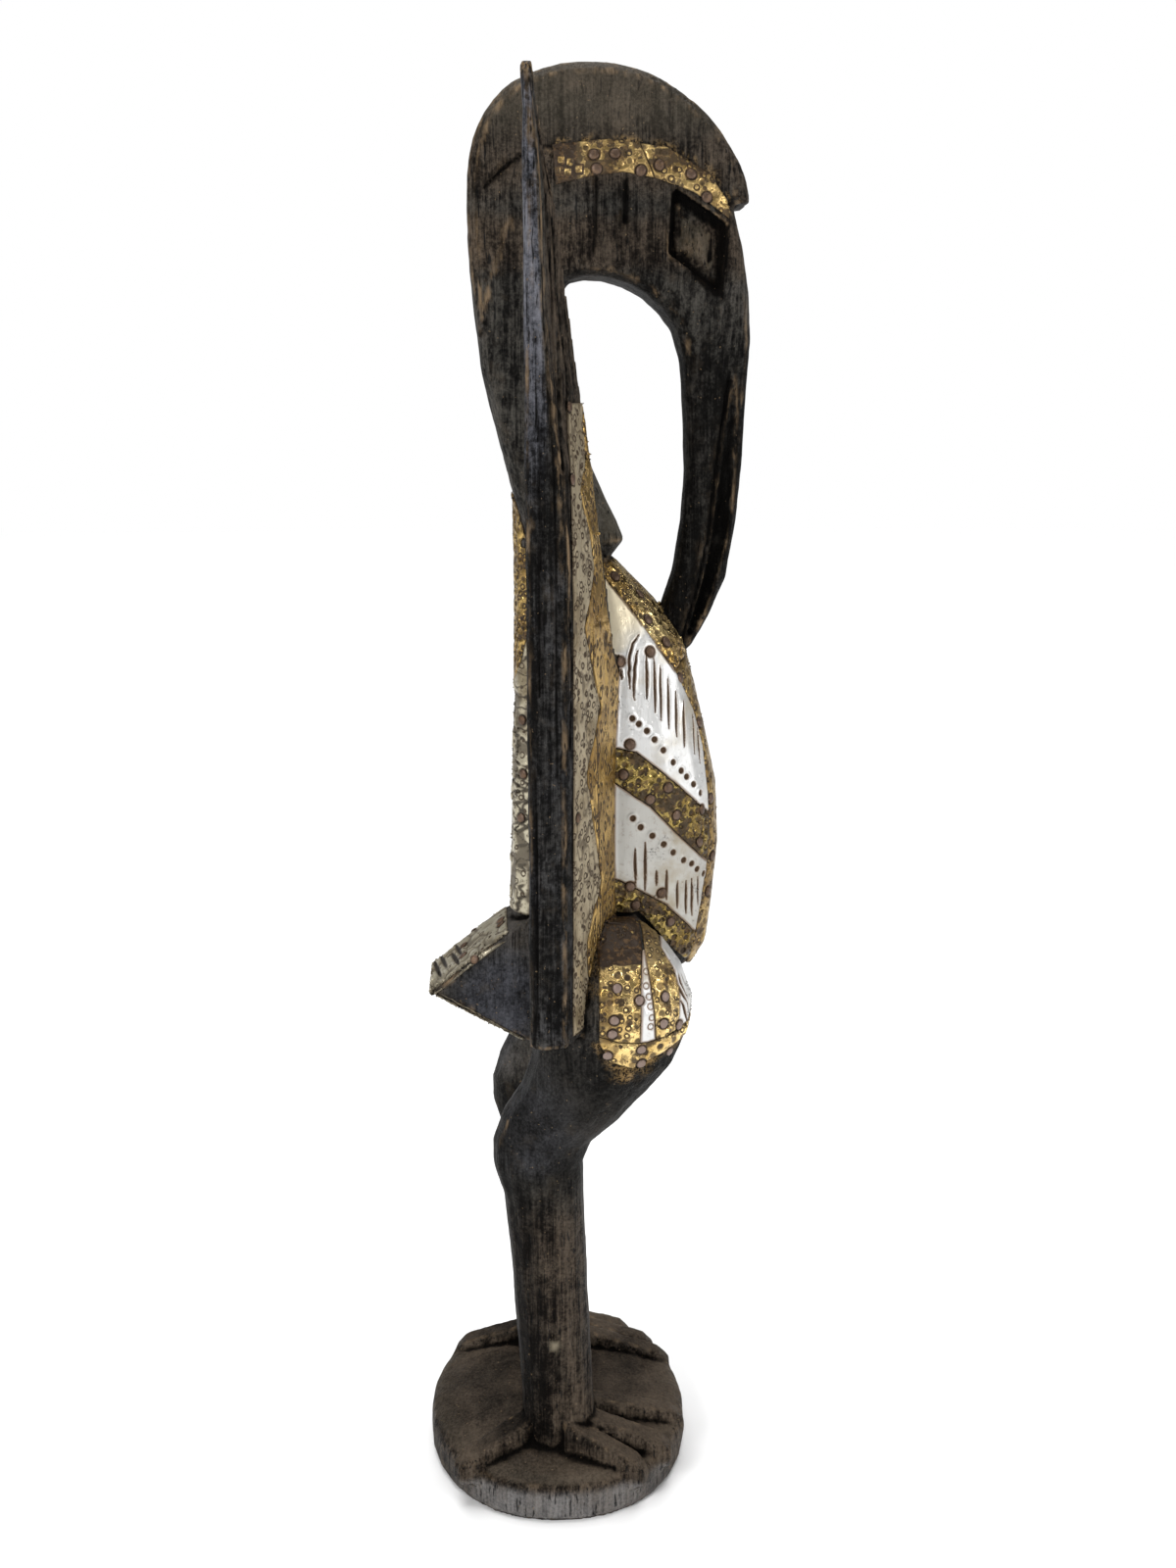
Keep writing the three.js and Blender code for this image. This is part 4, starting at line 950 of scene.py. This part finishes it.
def brass_finish(name, tarnish, count, cover, depth, light, deep, rough, stretch=(1, 1, 1)):
    """Brass gone brown in patches and in its punched rings; tarnish is how much of it, from 0 to 1."""
    finish, tree, shader = new_finish(name)
    stamp = effect(tree, rings, Count=count, Cover=cover, Stretch=stretch)
    edge = 0.7 - 0.3 * tarnish
    broad = effect(tree, blotches, Size=110.0, Low=edge, High=edge + 0.08, Detail=7.0)["Mask"]
    speck = effect(tree, blotches, Size=330.0, Low=0.5, High=0.62, Detail=4.0)["Mask"]
    tint = effect(tree, blotches, Size=50.0, Low=0.35, High=0.65, Detail=5.0)["Mask"]
    dirt = times(tree, stamp["Groove"], 0.85)
    dirt = most(tree, dirt, times(tree, speck, 0.4 + 0.4 * tarnish))
    dirt = most(tree, dirt, times(tree, broad, 0.8))
    dirt = most(tree, dirt, marked(tree, "stain"))
    dirt = most(tree, dirt, times(tree, between(tree, marked(tree, "inset"), 1.1, 0.1), 0.6))
    dirt = between(tree, less(tree, dirt, times(tree, stamp["Middle"], 0.5)), 0.05, 0.95)
    bright = shade(tree, tint, deep + (1,), light + (1,))
    umber = shade(tree, speck, (0.028, 0.016, 0.008, 1), (0.085, 0.047, 0.018, 1))
    matt = times_plus(tree, dirt, 0.25, rough)
    relief = times_plus(tree, stamp["Groove"], -1.0, times(tree, stamp["Middle"], 0.4))
    relief = times_plus(tree, speck, -0.3, relief)
    lay_on(tree, shader, shade(tree, dirt, bright, umber), matt, relief, 0.85, depth)
    metal = put(tree, "ShaderNodeMapRange", {"Value": dirt, "To Min": 1.0, "To Max": 0.3}).outputs[0]
    plug(tree, shader, {"Metallic": metal, "Specular IOR Level": 0.35})
    return finish


def aluminium_finish(name, dirt_share, rough, tint, cover=0.0, grime=(0.17, 0.085, 0.03)):
    """Aluminium rubbed bright, with grime in its punched marks and round its edge."""
    finish, tree, shader = new_finish(name)
    haze = effect(tree, blotches, Size=34.0, Low=0.46, High=0.72, Detail=6.0)["Mask"]
    speck = effect(tree, blotches, Size=430.0, Low=0.55, High=0.67, Detail=4.0)["Mask"]
    brushed = (0.5, 0.5, 0.08)
    rub = effect(tree, blotches, Size=300.0, Low=0.3, High=0.7, Detail=3.0, Stretch=brushed)["Mask"]
    stamp = effect(tree, rings, Count=215.0, Cover=cover)
    stain = marked(tree, "stain")
    dirt = most(tree, stain, times(tree, between(tree, marked(tree, "inset"), 1.5, 0.2), 0.75))
    dirt = most(tree, dirt, times(tree, speck, dirt_share))
    dirt = most(tree, dirt, times(tree, haze, dirt_share * 0.6))
    dirt = most(tree, dirt, stamp["Groove"])
    warm_tint = (0.78 * tint[0], 0.72 * tint[1], 0.6 * tint[2], 1)
    bright = shade(tree, haze, tint + (1,), warm_tint)
    # painted highlight: bright cream where the sheet is marked for it
    bright = shade(tree, marked(tree, "painted_cream_highlight"), bright, (0.98, 0.86, 0.62, 1))
    rust = shade(tree, between(tree, stain, 0.7, 1.0), grime + (1,), tuple(0.3 * c for c in grime) + (1,))
    matt = times_plus(tree, dirt, 0.25, times_plus(tree, rub, 0.12, rough))
    relief = times_plus(tree, speck, -0.4, times(tree, rub, 0.7))
    relief = times_plus(tree, stamp["Groove"], -1.0, relief)
    lay_on(tree, shader, shade(tree, dirt, bright, rust), matt, relief, 0.45, 0.0003)
    metal = put(tree, "ShaderNodeMapRange", {"Value": dirt, "To Min": 0.62, "To Max": 0.25}).outputs[0]
    plug(tree, shader, {"Metallic": metal, "Specular IOR Level": 0.35})
    return finish


bright_aluminium = aluminium_finish(
    "bright aluminium", dirt_share=0.12, rough=0.34, tint=(0.66, 0.66, 0.65),
)  # fmt: skip
dull_aluminium = aluminium_finish("dull aluminium", dirt_share=0.2, rough=0.42, tint=(0.42, 0.41, 0.38))
band_brass = brass_finish(
    "embossed brass", tarnish=0.75, count=260.0, cover=0.4, depth=0.0005,
    light=(0.34, 0.25, 0.08), deep=(0.17, 0.115, 0.035), rough=0.26,
)  # fmt: skip
top_brass = brass_finish(
    "stamped brass", tarnish=0.32, count=260.0, cover=0.7, depth=0.0005,
    light=(0.98, 0.76, 0.36), deep=(0.46, 0.29, 0.09), rough=0.22,
)  # fmt: skip
rim_brass = brass_finish(
    "edging brass", tarnish=0.6, count=240.0, cover=0.6, depth=0.0004,
    light=(0.4, 0.28, 0.11), deep=(0.2, 0.125, 0.045), rough=0.36,
)  # fmt: skip
brown_tack = brass_finish(
    "brown tack heads", tarnish=0.3, count=200.0, cover=0.0, depth=0.0003,
    light=(0.3, 0.2, 0.15), deep=(0.15, 0.09, 0.06), rough=0.28,
)  # fmt: skip
steel_tack = aluminium_finish(
    "steel tack heads", dirt_share=0.6, rough=0.22,
    tint=(0.55, 0.46, 0.42), cover=0.0, grime=(0.1, 0.055, 0.035),
)  # fmt: skip

belly_tacks = on_both(BELLY_TACKS)
rim_tacks = on_both(RIM_TACKS)
for side, sign in (("right", -1), ("left", 1)):
    for node, lines, holes, metal in (
        ("belly_panel_upper_", UPPER_STROKES, UPPER_HOLES, bright_aluminium),
        ("belly_panel_lower_", LOWER_STROKES, LOWER_HOLES, dull_aluminium),
    ):
        sheet, points, inset = cut_sheet(node + side, edge=0.0008)
        height, stain = strokes(points, lines, sign, half_width=0.0009, depth=0.0006)
        punches = hollows(points, on_sheet(points, holes, sign), radius=0.0018, depth=0.0008)
        height, stain = with_more(height, stain, punches)
        # painted highlight: the upper panel's top left corner drawn bright cream
        corner = points[:, 2] - 0.9 * (points[:, 0] - 0.035) + 0.004 * lumps(points, 0.007, 51)
        mark(sheet.data, "painted_cream_highlight", ease(corner, 0.478, 0.497))
        close_sheet(sheet, points, inset, height, stain, belly_tacks, metal)
    for node in ("belly_band_upper_", "belly_band_lower_"):
        sheet, points, inset = cut_sheet(node + side, edge=0.0007)
        height, stain = punched(points, spacing=0.0037, depth=0.0011, seed=11, width=0.58)
        stain = 0.8 * ease(stain, 0.15, 0.8)
        close_sheet(sheet, points, inset, height, stain, belly_tacks, band_brass)
for node, metal in (("belly_top_band", top_brass), ("belly_rim", rim_brass)):
    sheet, points, inset = cut_sheet(node, edge=0.0009)
    height, stain = punched(points, spacing=0.0050, depth=0.0006, seed=12)
    close_sheet(sheet, points, inset, height, 0.85 * stain, rim_tacks, metal)
nail_down("belly_tacks", belly_tacks, TACK_RADIUS, brown_tack, seed=100)
nail_down("rim_tacks", rim_tacks, TACK_RADIUS, brown_tack, seed=200)


# The brow bands are two strips of brass on each side of the head, the front one laid over the rear one.
# The rear end is marked with small square punches.
BROW_TACKS = (
    (20.3, -24.6, 727.1), (21.7, -24.9, 720.2), (30.9, -24.5, 727.7), (43.6, -24.9, 719.5),
    (52.8, -24.8, 722.3), (69, -23.5, 718.5), (76.9, -24.4, 707.4),
)  # fmt: skip
BROW_SQUARES = (
    (4.2, -24.9, 724.4), (8.6, -24.9, 723.4), (2.2, -25, 719.4), (7.4, -25, 718.6), (12.8, -25, 720),
)  # fmt: skip
brow_tacks = on_both(BROW_TACKS)
brow_brass = brass_finish(
    "browned brass", tarnish=0.74, count=240.0, cover=0.5, depth=0.0005,
    light=(0.62, 0.44, 0.18), deep=(0.26, 0.165, 0.06), rough=0.34,
)  # fmt: skip
for side in ("right", "left"):
    for node in ("brow_band_rear_", "brow_band_front_"):
        sheet, points, inset = cut_sheet(node + side, edge=0.0007)
        height, stain = punched(points, spacing=0.0048, depth=0.0006, seed=13)
        stain = np.maximum(0.8 * stain, 0.9 * (1 - ease(points[:, 0], 0.011, 0.017)))
        for spot in on_both(BROW_SQUARES):
            gap = np.abs(points - spot)
            gap = np.where(gap[:, 1] > 0.004, 1, np.maximum(gap[:, 0], gap[:, 2]))
            height = np.where(gap < 0.0026, -0.0005 * (1 - ease(gap, 0.0009, 0.0016)), height)
            stain = np.where(gap < 0.0026, ease(gap, 0.0013, 0.0017), stain)
        close_sheet(sheet, points, inset, height, stain, brow_tacks, brow_brass)
nail_down("brow_tacks", brow_tacks, TACK_RADIUS, brown_tack, seed=300)


# Two strips run down the front of each wing: a grey one with a wavy edge outside, and a yellow one inside
# it, which is made of two layers, so that a seam runs down it.
WING_SEAM = (
    (16.5, -73, 500), (17.9, -72.7, 470), (19.7, -69.2, 439), (20.9, -66.2, 392), (21.7, -64.4, 339),
    (21.7, -64, 290),
)  # fmt: skip
WING_RINGS = (
    (13.8, -76.2, 554.3), (14.2, -77.2, 548.3), (7.1, -94.6, 543.7), (14.1, -78.5, 539.9),
    (14.6, -77.6, 531.7), (13.9, -81.3, 420.5), (17.4, -74.0, 425.3), (16.2, -76.3, 409.6),
    (17.4, -73.8, 399.7), (9.5, -91.0, 448.2),
)  # fmt: skip
WING_TACKS = ((9.5, -90.8, 406.8), (6.9, -89.1, 572.7), (5.6, -80.8, 606.2))
wing_tacks = on_both(WING_TACKS)
grey_aluminium = aluminium_finish(
    "grey aluminium", dirt_share=0.9, rough=0.4,
    tint=(0.37, 0.31, 0.21), cover=0.95, grime=(0.045, 0.028, 0.014),
)  # fmt: skip
worn_brass = brass_finish(
    "worn brass", tarnish=0.45, count=260.0, cover=1.0, depth=0.0006,
    light=(0.58, 0.39, 0.14), deep=(0.28, 0.17, 0.05), rough=0.34, stretch=(1, 1, 0.45),
)  # fmt: skip
for side, sign in (("right", 1), ("left", -1)):
    turned = np.array((1, sign, 1)) / 1000
    sheet, points, inset = cut_sheet("wing_strip_outer_" + side, edge=0.0012)
    height, stain = ringed(points, np.array(WING_RINGS) * turned, radius=0.0023, depth=0.0004)
    fold = creased(points, (0.007, 0.007, 0.011), 21)
    height += 0.0005 * lumps(points, (0.005, 0.005, 0.008), 23) - 0.0004 * fold
    stain = np.maximum(stain, 0.75 * fold)
    close_sheet(sheet, points, inset, height, stain, wing_tacks, grey_aluminium)
    sheet, points, inset = cut_sheet("wing_strip_inner_" + side, edge=0.0011)
    seam = np.array(WING_SEAM) * turned
    height, stain = stroke(points, seam, half_width=0.0009, depth=0.0006)
    across = np.interp(points[:, 2], seam[::-1, 2], np.abs(seam[::-1, 1])) - np.abs(points[:, 1])
    waves = 0.0003 * lumps(points, (0.004, 0.004, 0.012), 22)
    height += 0.00025 * ease(across, 0, 0.0008) * (points[:, 2] < 0.5) + waves
    close_sheet(sheet, points, inset, height, stain, wing_tacks, worn_brass)
nail_down("wing_tacks", wing_tacks, TACK_RADIUS, brown_tack, seed=400)


# The back's ridge is wrapped in brass above and in aluminium below, which is folded into slanting creases.
# Two more pieces wrap the tail, one over its top and tip and one along its lower edge.
BACK_TACKS = ((-17.8, -10.9, 441.1), (-17.6, -12.1, 411.5), (-18.9, -11.6, 386.7))
TAIL_TACKS = ((-30.8, -3.5, 324), (-52.1, 8.6, 307.6), (-45.7, -25.5, 310.7))
TAIL_CREASES = (
    ((-70, 25.5, 293.6), (-61.5, -25.5, 296.8)), ((-66, 25.5, 296.5), (-56.6, -25.5, 300.1)),
    ((-62, 25.5, 301.5), (-51.7, -25.5, 305.2)), ((-58, 25.5, 303.8), (-47.4, -25.5, 306.2)),
)  # fmt: skip
back_tacks = on_both(BACK_TACKS)
tail_tacks = on_both(TAIL_TACKS)
ringed_brass = brass_finish(
    "ringed brass", tarnish=0.45, count=240.0, cover=1.0, depth=0.0006,
    light=(0.45, 0.31, 0.11), deep=(0.22, 0.14, 0.05), rough=0.3,
)  # fmt: skip
crumpled_aluminium = aluminium_finish(
    "crumpled aluminium", dirt_share=0.9, rough=0.26,
    tint=(0.42, 0.38, 0.28), cover=0.4, grime=(0.055, 0.038, 0.022),
)  # fmt: skip
sheet, points, inset = cut_sheet("back_sheet_upper", edge=0.0009)
height, stain = punched(points, spacing=0.0036, depth=0.0008, seed=31, width=0.52)
close_sheet(sheet, points, inset, height, stain, back_tacks, ringed_brass)
sheet, points, inset = cut_sheet("back_sheet_lower", edge=0.0009)
fold = creased(points, (0.009, 0.009, 0.006), 32)
wander = lumps(points, (0.006, 0.006, 0.007), 36)
height = 0.0007 * wander - 0.0005 * fold
stain = np.maximum(0.95 * fold, 0.8 * ease(-wander, 0.0, 0.4))
chance = np.random.default_rng(33)
for sign in (1, -1):
    for level in np.arange(0.338, 0.505, 0.0062):
        slant = chance.uniform(0.003, 0.009) * (1 if level > 0.42 else chance.choice((-1, 1)))
        middle = (-0.019, 0.0115 * sign, level + slant / 2)
        ends = ((-0.0225, 0.004 * sign, level), middle, (-0.0125, 0.015 * sign, level + slant))
        more, darker = stroke(points, np.array(ends), half_width=0.0012, depth=0.0006)
        height, stain = with_more(height, stain, (more, 0.9 * darker))
close_sheet(sheet, points, inset, height, stain, back_tacks, crumpled_aluminium)
sheet, points, inset = cut_sheet("tail_top_sheet", edge=0.0009)
fold = creased(points, (0.011, 0.016, 0.011), 34)
wander = lumps(points, 0.007, 37)
height = 0.0005 * wander - 0.0004 * fold
stain = np.maximum(0.8 * fold, 0.6 * ease(-wander, 0.0, 0.5))
for crease in TAIL_CREASES:
    dent = stroke(points, np.array(crease) / 1000, half_width=0.0016, depth=0.0008)
    height, stain = with_more(height, stain, dent)
close_sheet(sheet, points, inset, height, stain, tail_tacks, crumpled_aluminium)
sheet, points, inset = cut_sheet("tail_foot_sheet", edge=0.0010)
height, stain = punched(points, spacing=0.0050, depth=0.0007, seed=35, width=0.56)
close_sheet(sheet, points, inset, height, stain, tail_tacks, crumpled_aluminium)
nail_down("back_tacks", back_tacks, TACK_RADIUS, brown_tack, seed=500)
nail_down("tail_tacks", tail_tacks, TACK_RADIUS, brown_tack, seed=600)


# Each thigh's cap is made of narrow pieces that are cut to lie round the bulge, with a band under them. A
# bright strip with a row of punched hollows runs down the middle, and the front edge is creased.
THIGH_TACKS = (
    (29.1, -82.4, 313.3), (40.8, -82.9, 306.7), (55.1, -77.6, 306.5), (53.9, -80.8, 292.6),
    (62.6, -72.7, 288.6), (26.4, -86, 289.4), (27.4, -85.8, 296.9), (41.9, -84.7, 279.8),
    (42.1, -82.3, 271), (23.9, -85.5, 277.3), (57, -73.6, 274.7),
)  # fmt: skip
STRIP_HOLES = (
    (45.0, -74.7, 319.7), (44.7, -79.2, 313.3), (46.1, -80.5, 307.8), (46.8, -81.9, 302.9),
    (47.5, -83.1, 296.9), (46.8, -83.4, 292.1),
)  # fmt: skip
EDGE_CREASES = (
    ((55.4, -58.6, 325.2), (61.5, -61, 316), (67.5, -60.2, 306.3)),
    ((59.8, -62.6, 318.3), (64, -66, 310), (67.9, -65.9, 301.2)),
    ((61.3, -68.4, 312.2), (65, -68, 303), (68.5, -66.7, 294.9)),
    ((63.7, -71.1, 302.2), (66, -70, 295), (67.9, -67.7, 288.1)),
)  # fmt: skip
STEEL_RADIUS = 0.0024
thigh_tacks = on_both(THIGH_TACKS)
thigh_brass = brass_finish(
    "thigh brass", tarnish=0.62, count=240.0, cover=0.7, depth=0.0005,
    light=(0.95, 0.7, 0.3), deep=(0.42, 0.27, 0.085), rough=0.24,
)  # fmt: skip
for side, sign in (("right", 1), ("left", -1)):
    turned = np.array((1, sign, 1)) / 1000
    for node in ("thigh_cap_rear_", "thigh_cap_front_", "thigh_band_"):
        sheet, points, inset = cut_sheet(node + side, edge=0.0007)
        height, stain = punched(points, spacing=0.0050, depth=0.0008, seed=41, width=0.54)
        top = ease(points[:, 2] + 0.0015 * lumps(points, 0.004, 42), 0.3215, 0.3235)
        if node == "thigh_cap_front_":
            top *= 0.7
        height = height * (1 - 0.7 * top)
        rear = 0.75 * (1 - ease(points[:, 0] + 0.002 * lumps(points, 0.004, 43), 0.023, 0.031))
        stain = np.maximum(stain, rear * ease(lumps(points, 0.005, 44), -0.6, 0.2))
        stain = np.maximum(0.9 * stain, top)
        close_sheet(sheet, points, inset, height, stain, thigh_tacks, thigh_brass)
    sheet, points, inset = cut_sheet("thigh_strip_" + side, edge=0.0007)
    height, stain = ringed(points, np.array(STRIP_HOLES) * turned, radius=0.0017, depth=0.0006)
    close_sheet(sheet, points, inset, height, stain, thigh_tacks, bright_aluminium)
    sheet, points, inset = cut_sheet("thigh_cap_edge_" + side, edge=0.0007)
    height, stain = 0 * inset, 0 * inset
    for crease in EDGE_CREASES:
        dent = stroke(points, np.array(crease) * turned, half_width=0.0010, depth=0.0006)
        height, stain = with_more(height, stain, dent)
    close_sheet(sheet, points, inset, height, stain, thigh_tacks, bright_aluminium)
nail_down("thigh_tacks", thigh_tacks, STEEL_RADIUS, steel_tack, seed=700)
